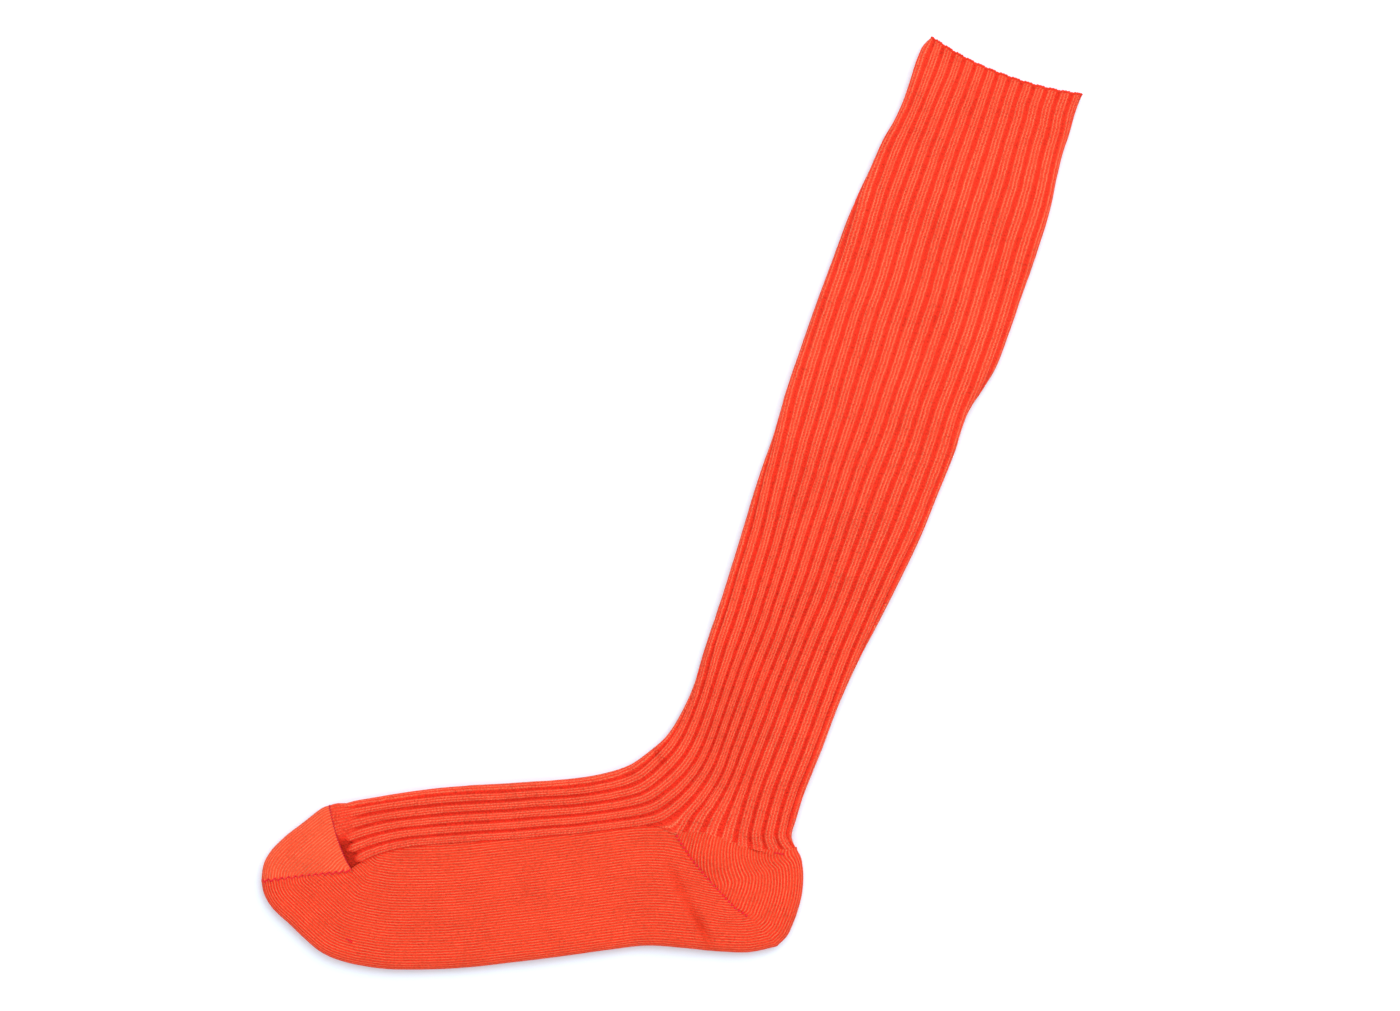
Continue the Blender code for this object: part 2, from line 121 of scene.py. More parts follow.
# Leg rows from the cuff down.  Points are shares of calf width and leg
# length, and "split" is where heel and instep part.  back_rib and front_rib
# are the rib numbers on the two folds, rib_45 to rib_105 the places of ribs
# 4.5, 8.5 and 10.5 across the calf width.  "dip" is the sink of the row's
# middle and "bow" how far it takes the heel-top line's S shape.
LEG_COLUMNS = (
    "front_x", "front_y", "split_x", "split_y", "back_x", "back_y",
    "back_rib", "rib_45", "rib_85", "rib_105", "front_rib", "dip", "bow",
)
LEG_ROWS = (
    (-0.172, 1.0000, 0.10, 0.9985, 0.676, 0.9975, -2.75, 0.218, -0.030, -0.155, 11.25, 0.0113, 0.0),
    (-0.195, 0.9905, 0.10, 0.9900, 0.674, 0.9890, -2.70, 0.219, -0.029, -0.155, 11.35, 0.0110, 0.0),
    (-0.204, 0.9740, 0.10, 0.9740, 0.674, 0.9740, -2.68, 0.220, -0.028, -0.155, 11.40, 0.0085, 0.0),
    (-0.202, 0.9480, 0.10, 0.9480, 0.685, 0.9480, -2.55, 0.224, -0.033, -0.154, 11.45, 0.0050, 0.0),
    (-0.198, 0.9200, 0.10, 0.9200, 0.689, 0.9200, -2.45, 0.227, -0.038, -0.155, 11.45, 0.0025, 0.0),
    (-0.206, 0.8930, 0.10, 0.8930, 0.703, 0.8930, -2.42, 0.230, -0.041, -0.164, 11.42, 0.0010, 0.0),
    (-0.227, 0.8670, 0.10, 0.8670, 0.720, 0.8670, -2.40, 0.233, -0.043, -0.177, 11.42, 0.0, 0.0),
    (-0.237, 0.8400, 0.10, 0.8400, 0.732, 0.8400, -2.46, 0.239, -0.043, -0.179, 11.45, 0.0, 0.0),
    (-0.246, 0.8120, 0.10, 0.8120, 0.737, 0.8120, -2.48, 0.244, -0.043, -0.179, 11.55, 0.0, 0.0),
    (-0.258, 0.7580, 0.10, 0.7580, 0.740, 0.7580, -2.28, 0.257, -0.032, -0.165, 12.05, 0.0, 0.0),
    (-0.259, 0.7040, 0.10, 0.7040, 0.743, 0.7040, -2.15, 0.272, -0.018, -0.154, 12.20, 0.0, 0.0),
    (-0.260, 0.6500, 0.10, 0.6500, 0.736, 0.6500, -2.02, 0.281, -0.017, -0.150, 12.28, 0.0, 0.0),
    (-0.259, 0.6230, 0.10, 0.6230, 0.712, 0.6230, -1.70, 0.284, -0.008, -0.145, 12.32, 0.0, 0.0),
    (-0.258, 0.5960, 0.10, 0.5960, 0.688, 0.5960, -1.42, 0.285, -0.001, -0.141, 12.38, 0.0, 0.0),
    (-0.255, 0.5420, 0.10, 0.5420, 0.690, 0.5420, -1.26, 0.291, 0.015, -0.126, 12.50, 0.0, 0.0),
    (-0.236, 0.4880, 0.10, 0.4880, 0.681, 0.4880, -1.15, 0.289, 0.027, -0.110, 12.80, 0.0, 0.0),
    (-0.232, 0.4340, 0.10, 0.4340, 0.672, 0.4340, -1.10, 0.291, 0.040, -0.085, 13.15, 0.0, 0.0),
    (-0.222, 0.3800, 0.10, 0.3800, 0.650, 0.3800, -1.15, 0.297, 0.052, -0.062, 13.45, 0.0, 0.0),
    (-0.209, 0.3260, 0.09, 0.3260, 0.621, 0.3260, -1.05, 0.299, 0.063, -0.047, 13.45, 0.0, 0.0),
    (-0.200, 0.2720, 0.08, 0.2720, 0.591, 0.2720, -0.77, 0.291, 0.069, -0.035, 13.55, 0.0, 0.0),
    (-0.192, 0.2180, 0.08, 0.2180, 0.575, 0.2180, -0.48, 0.282, 0.066, -0.032, 13.60, 0.0, 0.0),
    (-0.179, 0.1700, 0.09, 0.1640, 0.570, 0.1700, -0.40, 0.281, 0.066, -0.030, 13.85, 0.0, 0.0),
    (-0.189, 0.1400, 0.092, 0.1220, 0.565, 0.1340, -0.32, 0.277, 0.067, -0.025, 14.05, 0.0, 0.05),
    (-0.210, 0.1130, 0.087, 0.0820, 0.560, 0.0980, -0.32, 0.276, 0.066, -0.029, 14.10, 0.0, 0.25),
    (-0.238, 0.0970, 0.042, 0.0410, 0.567, 0.0620, -0.25, 0.285, 0.020, -0.068, 14.20, 0.0, 0.60),
    (-0.262, 0.0880, 0.016, 0.0235, 0.574, 0.0440, -0.08, 0.292, -0.012, -0.105, 14.30, 0.0, 0.85),
    (-0.2893, 0.0807, 0.000, 0.0000, 0.619, 0.0327, 0.35, 0.306, -0.054, -0.136, 14.35, 0.0, 1.0),
)

# S shape of the heel-top line: share of the way from the meeting point to
# the back fold, and how far it leaves the straight line, in chord lengths.
HEEL_TOP_WAY = (0.0, 0.10, 0.21, 0.31, 0.41, 0.52, 0.61, 0.71, 0.81, 0.92, 1.0)
HEEL_TOP_BOW = (0.0, 0.033, 0.043, 0.025, 0.0, -0.029, -0.040, -0.052, -0.049, -0.025, 0.0)

# Foot rows from the ankle crease to the toe seam, in shares of foot length
# towards the toe and of foot depth upwards, in the foot's slanted frame.
# low_rib and high_rib are the places of ribs 8.5 and 13.5, as shares of the
# way from the border to the top edge.
FOOT_COLUMNS = ("top_u", "top_v", "border_u", "border_v", "bottom_u", "bottom_v", "low_rib", "high_rib")
FOOT_ROWS = (
    (0.0531, 0.5276, 0.0000, 0.000, -0.186, -0.722, 0.180, 0.905),
    (0.068, 0.482, 0.0180, 0.020, -0.137, -0.758, 0.110, 0.890),
    (0.085, 0.445, 0.0370, 0.036, -0.085, -0.755, 0.055, 0.876),
    (0.118, 0.405, 0.0757, 0.037, -0.018, -0.733, 0.012, 0.860),
    (0.159, 0.373, 0.1180, 0.021, 0.048, -0.716, 0.008, 0.859),
    (0.214, 0.351, 0.1770, -0.003, 0.122, -0.742, 0.008, 0.862),
    (0.270, 0.338, 0.2330, -0.019, 0.187, -0.774, 0.008, 0.865),
    (0.325, 0.325, 0.2880, -0.038, 0.251, -0.803, 0.008, 0.868),
    (0.380, 0.316, 0.3435, -0.051, 0.316, -0.830, 0.008, 0.871),
    (0.436, 0.300, 0.3990, -0.064, 0.377, -0.854, 0.008, 0.877),
    (0.482, 0.280, 0.4450, -0.074, 0.427, -0.866, 0.008, 0.882),
    (0.519, 0.260, 0.4875, -0.087, 0.473, -0.870, 0.008, 0.886),
    (0.556, 0.238, 0.5245, -0.112, 0.510, -0.870, 0.008, 0.892),
    (0.593, 0.216, 0.5630, -0.160, 0.537, -0.866, 0.008, 0.905),
    (0.640, 0.190, 0.5980, -0.232, 0.561, -0.857, 0.008, 0.915),
)
HEEL_EDGE = (
    (-0.2220, -0.0945),
    (-0.2300, -0.1430),
    (-0.2338, -0.2050),
    (-0.2350, -0.2900),
    (-0.2320, -0.3950),
    (-0.2245, -0.4950),
    (-0.2160, -0.5750),
    (-0.2060, -0.6500),
    (-0.1860, -0.7220),
)
TOE_EDGE = (
    (0.6400, 0.1900),
    (0.6570, 0.1590),
    (0.6720, 0.1180),
    (0.6870, 0.0770),
    (0.7020, 0.0380),
    (0.7170, -0.0020),
    (0.7310, -0.0460),
    (0.7460, -0.1000),
    (0.7600, -0.1800),
    (0.7660, -0.2990),
)
TOE_UNDER_EDGE = (
    (0.5610, -0.8570),
    (0.6020, -0.8300),
    (0.6390, -0.7880),
    (0.6570, -0.7550),
    (0.6870, -0.6680),
    (0.7170, -0.5680),
    (0.7310, -0.5250),
    (0.7460, -0.4720),
    (0.7600, -0.3900),
    (0.7660, -0.2990),
)

# How much of the crest share a crease of one millimetre takes away: painted shade in the crease.
CREASE_SHADE = 0.27


class Crease(NamedTuple):
    """Soft crease on the upper side, its ends in foot shares.

    The dip has a lip on the heel's side.
    """

    start: tuple[float, float]
    end: tuple[float, float]
    half_mm: float
    depth_mm: float
    lip_mm: float


# In turn: the sole beside the heel in two stretches, the toe pocket, the
# heel-top line, the front of the ankle, and three beside the toe seam's end.
CREASES = (
    Crease((0.016, -0.180), (-0.025, -0.480), 2.4, 1.90, 0.90),
    Crease((-0.020, -0.430), (-0.066, -0.730), 2.1, 2.70, 1.50),
    Crease((0.684, 0.100), (0.728, -0.230), 3.0, 0.60, 1.00),
    Crease((-0.094, 0.006), (-0.192, -0.128), 0.8, 1.00, 0.20),
    Crease((0.052, 0.620), (0.010, 0.370), 0.9, 1.50, 1.10),
    Crease((0.570, -0.285), (0.520, -0.310), 2.6, -0.60, 0.00),
    Crease((0.600, -0.262), (0.568, -0.325), 1.3, 0.85, 0.00),
    Crease((0.652, -0.268), (0.585, -0.250), 0.9, 0.30, 0.00),
)

# Slow waves of the whole upper side: height, wave length and seed.
SOFT_WAVES = ((0.32 * MM, 70 * MM, 21), (0.20 * MM, 24 * MM, 22))

# Heights, as shares of the thickness, over which creases and waves set in.
CREASE_SPAN = (0.12, 0.45)
WAVE_SPAN = (0.35, 0.75)

# Shares of a crease's length that its fade is held to, and where its lip
# lies and how wide it is, in half widths of the crease.
CREASE_HELD = (0.12, 0.88)
LIP_PLACE = 1.3
LIP_WIDTH = 0.7


class Side(enum.Enum):
    """Which way round a loop of cloth a share is counted."""

    OVER = "over"
    UNDER = "under"


def srgb(code: str) -> tuple[float, float, float, float]:
    """Turn an sRGB hex colour into linear light.

    Args:
        code: Six hex digits.

    Returns:
        Linear red, green, blue and an alpha of one.
    """
    parts = np.array([int(code[i:i + 2], 16) for i in (0, 2, 4)]) / 255.0
    linear = np.where(parts <= 0.04045, parts / 12.92, ((parts + 0.055) / 1.055) ** 2.4)
    return (*linear.tolist(), 1.0)


def add_node(
    tree: bpy.types.NodeTree,
    kind: str,
    settings: dict[str, Any] | None = None,
    inputs: dict[Any, Any] | None = None,
) -> bpy.types.Node:
    """Add one node with its settings, socket values and links.

    Args:
        tree: Node tree that receives the node.
        kind: Blender's node type name.
        settings: Node properties to set.
        inputs: Socket name or number to a value, or to an output to link.

    Returns:
        The new node.
    """
    node = tree.nodes.new(kind)
    for name, value in (settings or {}).items():
        setattr(node, name, value)
    for key, value in (inputs or {}).items():
        if isinstance(value, bpy.types.NodeSocket):
            tree.links.new(value, node.inputs[key])
        else:
            node.inputs[key].default_value = value
    return node


def smooth_track(knots: np.ndarray, values: np.ndarray, at: np.ndarray) -> np.ndarray:
    """Cubic curve through the knots, each slope from its two neighbours.

    Args:
        knots: Rising parameter of each row, shape (n,).
        values: Values of each row, shape (n, columns).
        at: Parameters to read, shape (m,).

    Returns:
        Values at those parameters, shape (m, columns).
    """
    slopes = np.gradient(values, knots, axis=0)
    i = np.clip(np.searchsorted(knots, at, side="right") - 1, 0, len(knots) - 2)
    gap = (knots[i + 1] - knots[i])[:, None]
    t = (at - knots[i])[:, None] / gap
    low = (2 * t ** 3 - 3 * t ** 2 + 1) * values[i] + (t ** 3 - 2 * t ** 2 + t) * gap * slopes[i]
    high = (3 * t ** 2 - 2 * t ** 3) * values[i + 1] + (t ** 3 - t ** 2) * gap * slopes[i + 1]
    return low + high


def ease(low: float, high: float, value: np.ndarray) -> np.ndarray:
    """Smooth step: 0 below `low`, 1 above `high`, level at both ends."""
    t = np.clip((value - low) / (high - low), 0.0, 1.0)
    return t * t * (3.0 - 2.0 * t)


def bell(away: np.ndarray, reach: float) -> np.ndarray:
    """Bell curve: 1 where `away` is 0, and 1 / e at the reach."""
    return np.exp(-((away / reach) ** 2))


def columns(names: tuple[str, ...], *wanted: str) -> list[int]:
    """Places of the wanted columns in a table's column names."""
    return [names.index(name) for name in wanted]


def grid_quads(rows: int, cols: int, closed: bool = False, wrapped: bool = False) -> np.ndarray:
    """Corner numbers of a grid's quads.

    Args:
        rows: Rows of points.
        cols: Points in a row.
        closed: Whether the last column joins the first.
        wrapped: Whether the last row joins the first.

    Returns:
        The quads, each wound down the rows first, shape (n, 4).
    """
    down = np.arange(rows if wrapped else rows - 1)
    across = np.arange(cols if closed else cols - 1)
    i, j = np.meshgrid(down, across, indexing="ij")
    n, k = (i + 1) % rows, (j + 1) % cols
    return np.stack([i * cols + j, n * cols + j, n * cols + k, i * cols + k], axis=-1).reshape(-1, 4)


def on_row(grid: np.ndarray, row: int, shares: np.ndarray) -> np.ndarray:
    """Points of one row of a grid at given shares, 0 to 2 round the loop."""
    index = np.arange(grid.shape[1])
    at = shares / 2.0 * index[-1]
    return np.stack([np.interp(at, index, grid[row, :, axis]) for axis in range(3)], axis=1)


def wander(x: np.ndarray, y: np.ndarray, wave: float, seed: int) -> np.ndarray:
    """Slow irregular field: the mean of six sine waves of random heading.

    Args:
        x: First coordinate.
        y: Second coordinate.
        wave: Typical wave length, in the coordinates' unit.
        seed: Seed of the headings, lengths and phases.

    Returns:
        Values of about -1 to 1 with the shape of `x`.
    """
    rng = np.random.default_rng(seed)
    total = np.zeros(np.broadcast(x, y).shape)
    for _ in range(6):
        heading = rng.uniform(0.0, 2.0 * math.pi)
        stretch = 2.0 * math.pi / (wave * rng.uniform(0.6, 1.6))
        phase = rng.uniform(0.0, 2.0 * math.pi)
        total += np.sin(stretch * (x * math.cos(heading) + y * math.sin(heading)) + phase)
    return total / 3.0


def foot_points(shares: Sequence[Sequence[float]] | np.ndarray) -> np.ndarray:
    """Plan points of foot shares, turned down by the foot's slope.

    Args:
        shares: Rows of (share of foot length, share of foot depth).

    Returns:
        Points counted from the meeting point, shape (n, 2).
    """
    pairs = np.asarray(shares, dtype=float)
    along = pairs[:, 0] * SIZES.foot_length
    up = pairs[:, 1] * SIZES.foot_depth
    cos_a, sin_a = math.cos(SIZES.foot_slope), math.sin(SIZES.foot_slope)
    return np.stack([-along * cos_a - up * sin_a, -along * sin_a + up * cos_a], axis=1)


def foot_shares(points: np.ndarray) -> np.ndarray:
    """Plan points back to (along, up) in metres in the foot's own frame."""
    cos_a, sin_a = math.cos(SIZES.foot_slope), math.sin(SIZES.foot_slope)
    x, y = points[..., 0], points[..., 1]
    return np.stack([-x * cos_a - y * sin_a, -x * sin_a + y * cos_a], axis=-1)


@dataclass
class Section:
    """One loop of cloth hung on a plan line.

    The height over the distance d along the line is the half thickness plus
    or minus a flat-topped profile, which falls to nothing as a quarter
    ellipse at each fold.  The top also swells by a squared sine.
    """

    line: np.ndarray
    folds: int = 1
    thick: float = SIZES.thick
    swell: float = 0.0
    plan_weight: float = 0.6

    def __post_init__(self) -> None:
        """Work out the loop's distances, heights, normals and lengths."""
        steps = np.linalg.norm(np.diff(self.line, axis=0), axis=1)
        self.along = np.concatenate([[0.0], np.cumsum(steps)])
        self.length = float(self.along[-1])
        self.heading = np.gradient(self.line, self.along, axis=0)
        reach = min(SIZES.fold_reach, FOLD_SHARE * self.length)
        angle = np.linspace(0.0, 0.5 * math.pi, FOLD_STEPS)
        rise_d, rise_z = reach * (1.0 - np.cos(angle)), np.sin(angle)
        flat = np.linspace(reach if self.folds == 2 else 0.0, self.length - reach, FLAT_STEPS)
        parts_d = [flat, (self.length - rise_d[::-1])[1:]]
        parts_z = [np.ones(FLAT_STEPS), rise_z[::-1][1:]]
        if self.folds == 2:
            parts_d.insert(0, rise_d[:-1])
            parts_z.insert(0, rise_z[:-1])
        over_d, over_z = np.concatenate(parts_d), 0.5 * self.thick * np.concatenate(parts_z)
        swell = self.swell * np.sin(math.pi * over_d / self.length) ** 2
        top = 0.5 * self.thick + over_z + swell
        bottom = 0.5 * self.thick - over_z
        self.dist = np.concatenate([over_d, over_d[::-1][1:]])
        self.height = np.concatenate([top, bottom[::-1][1:]])
        step = np.hypot(np.diff(self.dist), np.diff(self.height))
        self.run = np.concatenate([[0.0], np.cumsum(step)])
        self.fold = len(over_d) - 1
        slope_d = np.gradient(self.dist, self.run)
        slope_z = np.gradient(self.height, self.run)
        if self.folds == 2:
            slope_d[[0, -1]], slope_z[[0, -1]] = 0.0, 1.0
        size = np.hypot(slope_d, slope_z)
        self.normal = np.stack([-slope_z / size, slope_d / size], axis=1)

    def measure(self, side: Side) -> tuple[np.ndarray, np.ndarray]:
        """Rising measure of one side, part plan distance and part cloth.

        Args:
            side: Over the top or underneath.

        Returns:
            The measure, 0 at the start and 1 at the far fold, and the cloth
            length round the loop at each.
        """
        if side is Side.OVER:
            dist, run = self.dist[:self.fold + 1], self.run[:self.fold + 1]
            cloth = run / run[-1]
        else:
            dist, run = self.dist[self.fold:][::-1], self.run[self.fold:][::-1]
            cloth = (run[0] - run) / (run[0] - run[-1])
        return self.plan_weight * dist / self.length + (1.0 - self.plan_weight) * cloth, run

    def run_at(self, dist: np.ndarray | float) -> np.ndarray | float:
        """Cloth length on the upper side at a plan distance."""
        top = slice(0, self.fold + 1)
        return np.interp(dist, self.dist[top], self.run[top])

    def runs(self, shares: np.ndarray) -> np.ndarray:
        """Cloth length of shares, 0 to 1 over the top and 1 to 2 under."""
        over, over_run = self.measure(Side.OVER)
        under, under_run = self.measure(Side.UNDER)
        top = np.interp(shares, over, over_run)
        low = np.interp(2.0 - shares, under, under_run)
        return np.where(shares <= 1.0, top, low)

    def points(self, runs: np.ndarray, offset: np.ndarray) -> np.ndarray:
        """Points of the loop, pushed outwards along its normal.

        Args:
            runs: Cloth lengths round the loop.
            offset: How far each point is pushed outwards.

        Returns:
            Points counted from the meeting point, shape (n, 3).
        """
        dist = np.interp(runs, self.run, self.dist)
        height = np.interp(runs, self.run, self.height)
        side = np.interp(runs, self.run, self.normal[:, 0])
        up = np.interp(runs, self.run, self.normal[:, 1])
        size = np.hypot(side, up)
        out = np.empty((len(runs), 3))
        for axis in (0, 1):
            spot = np.interp(dist, self.along, self.line[:, axis])
            lead = np.interp(dist, self.along, self.heading[:, axis])
            out[:, axis] = spot + lead * side / size * offset
        out[:, 2] = height + up / size * offset
        return out


# Widths of a rib's form, in ribs: where its two shoulders start and end,
# counted from its middle, and the half width over which its crown falls.
FRONT_SHOULDER = (0.285, 0.385)
BACK_SHOULDER = (0.215, 0.415)
CROWN_HALF = 0.30
CROWN_FALL = 0.10
VALLEY_RIPPLE = 0.30

# Uneven ribs: amount in ribs, step from rib to rib, wave length and seed.
RIB_DRIFTS = ((0.040, 7.3 * MM, 45 * MM, 11), (0.022, 5.1 * MM, 12 * MM, 13))
RIB_SWELL = (0.012, 11.9 * MM, 60 * MM, 12)


def rib_relief(
    ribs: np.ndarray, way: np.ndarray, depth: np.ndarray, widen: np.ndarray | float
) -> tuple[np.ndarray, np.ndarray]:
    """Height of the two-by-two rib knit over its crests.

    A crest is a plateau of a little over half a rib.  Its shoulder towards
    the front fold is steep and the one towards the back is soft, and the
    valley between two crests is level.  A cosine of four waves to a rib adds
    the edges of the wales.

    Args:
        ribs: Rib number of each column, shape (columns,).
        way: Distance down the sock of each row in metres, shape (rows, 1).
        depth: Valley depth of each row or point, in metres.
        widen: How much wider each half of a crest is, in ribs.

    Returns:
        Offsets (zero on the crest, negative in the valley) and the crest
        share (1 on a crest, 0 in a valley), both shape (rows, columns).
    """
    number = np.floor(ribs + 0.5)[None, :]
    drift, other, half = (
        amount * wander(way, number * step, wave, seed)
        for amount, step, wave, seed in (*RIB_DRIFTS, RIB_SWELL)
    )
    phase = ribs[None, :] - number + drift + other
    front = 1.0 - ease(*FRONT_SHOULDER, phase - half - widen)
    back = 1.0 - ease(*BACK_SHOULDER, -phase - half - widen)
    crest = front * back
    crown = -CROWN_FALL * (phase / CROWN_HALF) ** 2 * crest
    ripple = np.cos(2.0 * math.pi * WALES_PER_RIB * ribs)[None, :]
    ripple = ripple * (VALLEY_RIPPLE + (1.0 - VALLEY_RIPPLE) * crest)
    offset = depth * (crest - 1.0 + crown) + SIZES.wale_ripple * ripple
    return offset, crest


@dataclass(frozen=True)
class Bow:
    """A straight seam line that lies bowed to the left of its heading."""

    start: tuple[float, float]
    end: tuple[float, float]
    way: tuple[float, ...]
    push_mm: tuple[float, ...]
    reach_mm: float

    def bend(self, points: np.ndarray) -> np.ndarray:
        """Push cloth sideways, fading away from the line as a bell curve.

        Args:
            points: Points counted from the meeting point, shape (..., 3).

        Returns:
            The pushed points.
        """
        low, high = foot_points([self.start, self.end])
        length = float(np.linalg.norm(high - low))
        lead = (high - low) / length
        side = np.array([-lead[1], lead[0]])
        away = (points[..., :2] - low) @ side
        share = ((points[..., :2] - low) @ lead) / length
        push = MM * np.interp(share, self.way, self.push_mm)
        bent = points.copy()
        bent[..., :2] += (push * bell(away, self.reach_mm * MM))[..., None] * side
        return bent


TOE_SEAM_BOW = Bow(
    start=(0.598, -0.232), end=(0.640, 0.190),
    way=(0.0, 0.12, 0.25, 0.42, 0.60, 0.80, 1.0),
    push_mm=(0.0, 0.85, 1.30, 1.50, 1.30, 0.75, 0.0), reach_mm=11.0,
)
HEEL_MITRE_BOW = Bow(
    start=(-0.186, -0.722), end=(0.0, 0.0),
    way=(0.0, 0.24, 0.33, 0.38, 0.49, 0.61, 0.80, 0.92, 1.0),
    push_mm=(0.0, 0.1, 1.3, 2.3, 2.5, 2.7, 2.2, 1.1, 0.0), reach_mm=10.0,
)


def crease_shape(points: np.ndarray) -> tuple[np.ndarray, np.ndarray]:
    """Dip and lip of all creases.

    Across a crease the dip is a bell curve, and the lip is a narrower one
    beside it.  Along it both fade as half a sine.

    Args:
        points: Points counted from the meeting point, shape (..., 3).

    Returns:
        Depth of the dip and height of the lip at every point, in metres.
    """
    x, y = points[..., 0], points[..., 1]
    upper = ease(*CREASE_SPAN, points[..., 2] / SIZES.thick)
    dip, raised = np.zeros(x.shape), np.zeros(x.shape)
    for crease in CREASES:
        start, end = foot_points([crease.start, crease.end])
        half = crease.half_mm * MM
        chord = end - start
        share = ((x - start[0]) * chord[0] + (y - start[1]) * chord[1]) / chord.dot(chord)
        share = np.clip(share, 0.0, 1.0)
        off = np.hypot(x - start[0] - share * chord[0], y - start[1] - share * chord[1])
        fade = np.sin(math.pi * np.clip(share, *CREASE_HELD))
        dip += crease.depth_mm * MM * bell(off, half) * fade
        side = np.sign((x - start[0]) * -chord[1] + (y - start[1]) * chord[0])
        lip = bell(off - LIP_PLACE * half, LIP_WIDTH * half) * (side < 0.0)
        raised += crease.lip_mm * MM * lip * fade
    return dip * upper, raised * upper


def settle(points: np.ndarray) -> np.ndarray:
    """Add soft dents and creases to the upper side of the cloth.

    Args:
        points: Points counted from the meeting point, shape (..., 3).

    Returns:
        The points with their heights changed; the resting side stays flat.
    """
    x, y, z = points[..., 0], points[..., 1], points[..., 2]
    above = ease(*WAVE_SPAN, z / SIZES.thick)
    lift = sum(height * wander(x, y, wave, seed) for height, wave, seed in SOFT_WAVES)
    dip, raised = crease_shape(points)
    settled = points.copy()
    settled[..., 2] = np.maximum(z + above * lift + raised - dip, 0.0)
    return settled


@dataclass
class Knit:
    """A grid of cloth with its stitch coordinates and crest share."""

    outer: np.ndarray
    inner: np.ndarray
    wales: np.ndarray
    courses: np.ndarray
    crest: np.ndarray
    ring: bool = False
    inner_step: int = 1

    def mesh(self, name: str) -> bpy.types.Mesh:
        """Put the two grids into one closed mesh.

        Returns:
            The mesh, with the UV map "stitch" in wales and courses and the
            point attribute "crest".
        """
        rows, cols = self.outer.shape[:2]
        picked = np.unique(np.append(np.arange(0, rows, self.inner_step), rows - 1))
        inner = self.inner[picked]
        lining = rows * cols + grid_quads(len(picked), cols, self.ring)[:, ::-1]
        cloth = np.concatenate([grid_quads(rows, cols, self.ring), lining])
        rims = self._end_rims(rows, len(picked), cols).tolist()
        rims += self._side_rims(picked, cols).tolist()
        points = np.concatenate([self.outer.reshape(-1, 3), inner.reshape(-1, 3)])
        crest = np.concatenate([self.crest.ravel(), self.crest[picked].ravel()])
        # Creases lower the crest share, which paints shade into them.
        crest -= CREASE_SHADE * crease_shape(points)[0] / MM
        points[:, :2] += MEETING
        mesh = bpy.data.meshes.new(name)
        mesh.from_pydata(points.tolist(), [], rims + cloth.tolist())
        write_stitches(mesh, *self._corner_stitches(mesh, picked), crest)
        smooth = np.arange(len(mesh.polygons)) >= len(rims)
        mesh.polygons.foreach_set("use_smooth", smooth)
        edges = np.empty(len(mesh.loops), dtype=np.int32)
        mesh.loops.foreach_get("edge_index", edges)
        sharp = np.zeros(len(mesh.edges), dtype=bool)
        sharp[edges[:sum(map(len, rims))]] = True
        mesh.edges.foreach_set("use_edge_sharp", sharp)
        return mesh

    def _end_rims(self, rows: int, inner_rows: int, cols: int) -> np.ndarray:
        """Quads that close the first and last row to the inner grid."""
        across = np.arange(cols if self.ring else cols - 1)
        nxt = (across + 1) % cols
        base = rows * cols
        top = np.stack([across, nxt, base + nxt, base + across], axis=1)
        last, last_in = (rows - 1) * cols, base + (inner_rows - 1) * cols
        low = np.stack([last + nxt, last + across, last_in + across, last_in + nxt], axis=1)
        return np.concatenate([top, low])

    def _side_rims(self, picked: np.ndarray, cols: int) -> np.ndarray:
        """Triangles that close the two long sides of an open grid.

        Every outer edge has one triangle to the inner row at or before it,
        and every step to the next inner row has another.

        Args:
            picked: Rows that the inner grid keeps.
            cols: Columns of both grids.
        """
        if self.ring:
            return np.empty((0, 3), dtype=int)
        rows = int(picked[-1]) + 1
        base = rows * cols
        down = np.arange(rows - 1)
        near = base + (np.searchsorted(picked, down, side="right") - 1) * cols
        steps = np.arange(len(picked) - 1)
        meet = picked[1:] * cols
        sides = []
        for edge, flip in ((0, False), (cols - 1, True)):
            outer = np.stack([(down + 1) * cols + edge, down * cols + edge, near + edge], axis=1)
            lining = base + steps * cols + edge
            inner = np.stack([meet + edge, lining, lining + cols], axis=1)
            both = np.concatenate([outer, inner])
            sides.append(both[:, ::-1] if flip else both)
        return np.concatenate(sides)

    def _corner_stitches(
        self, mesh: bpy.types.Mesh, picked: np.ndarray
    ) -> tuple[np.ndarray, np.ndarray]:
        """Wale and course of every face corner."""
        rows, cols = self.outer.shape[:2]
        wales = np.broadcast_to(self.wales, (rows, cols))
        corner = np.empty(len(mesh.loops), dtype=np.int32)
        mesh.loops.foreach_get("vertex_index", corner)
        u = np.concatenate([wales.ravel(), wales[picked].ravel()])[corner]
        v = np.concatenate([self.courses.ravel(), self.courses[picked].ravel()])[corner]
        if self.ring:
            u = unwrapped(u.reshape(-1, 4)).ravel()
        return u, v


def write_stitches(
    mesh: bpy.types.Mesh, wales: np.ndarray, courses: np.ndarray, crest: np.ndarray
) -> None:
    """Write what the cotton's material reads.

    Args:
        mesh: Mesh with its faces in place.
        wales: Wale of every face corner, for the UV map "stitch".
        courses: Course of every face corner, for the same map.
        crest: Crest share of every point, for the attribute "crest".
    """
    layer = mesh.uv_layers.new(name="stitch")
    layer.data.foreach_set("uv", np.stack([wales, courses], axis=-1).reshape(-1))
    mesh.attributes.new("crest", "FLOAT", "POINT").data.foreach_set("value", crest)


def unwrapped(wales: np.ndarray) -> np.ndarray:
    """Lift the low wales of the faces that close a ring by one turn.

    Args:
        wales: Wale of each corner, shape (faces, 4).
    """
    span = RIB_COUNT * WALES_PER_RIB
    return np.where(wales.max(axis=1, keepdims=True) - wales > 0.5 * span, wales + span, wales)


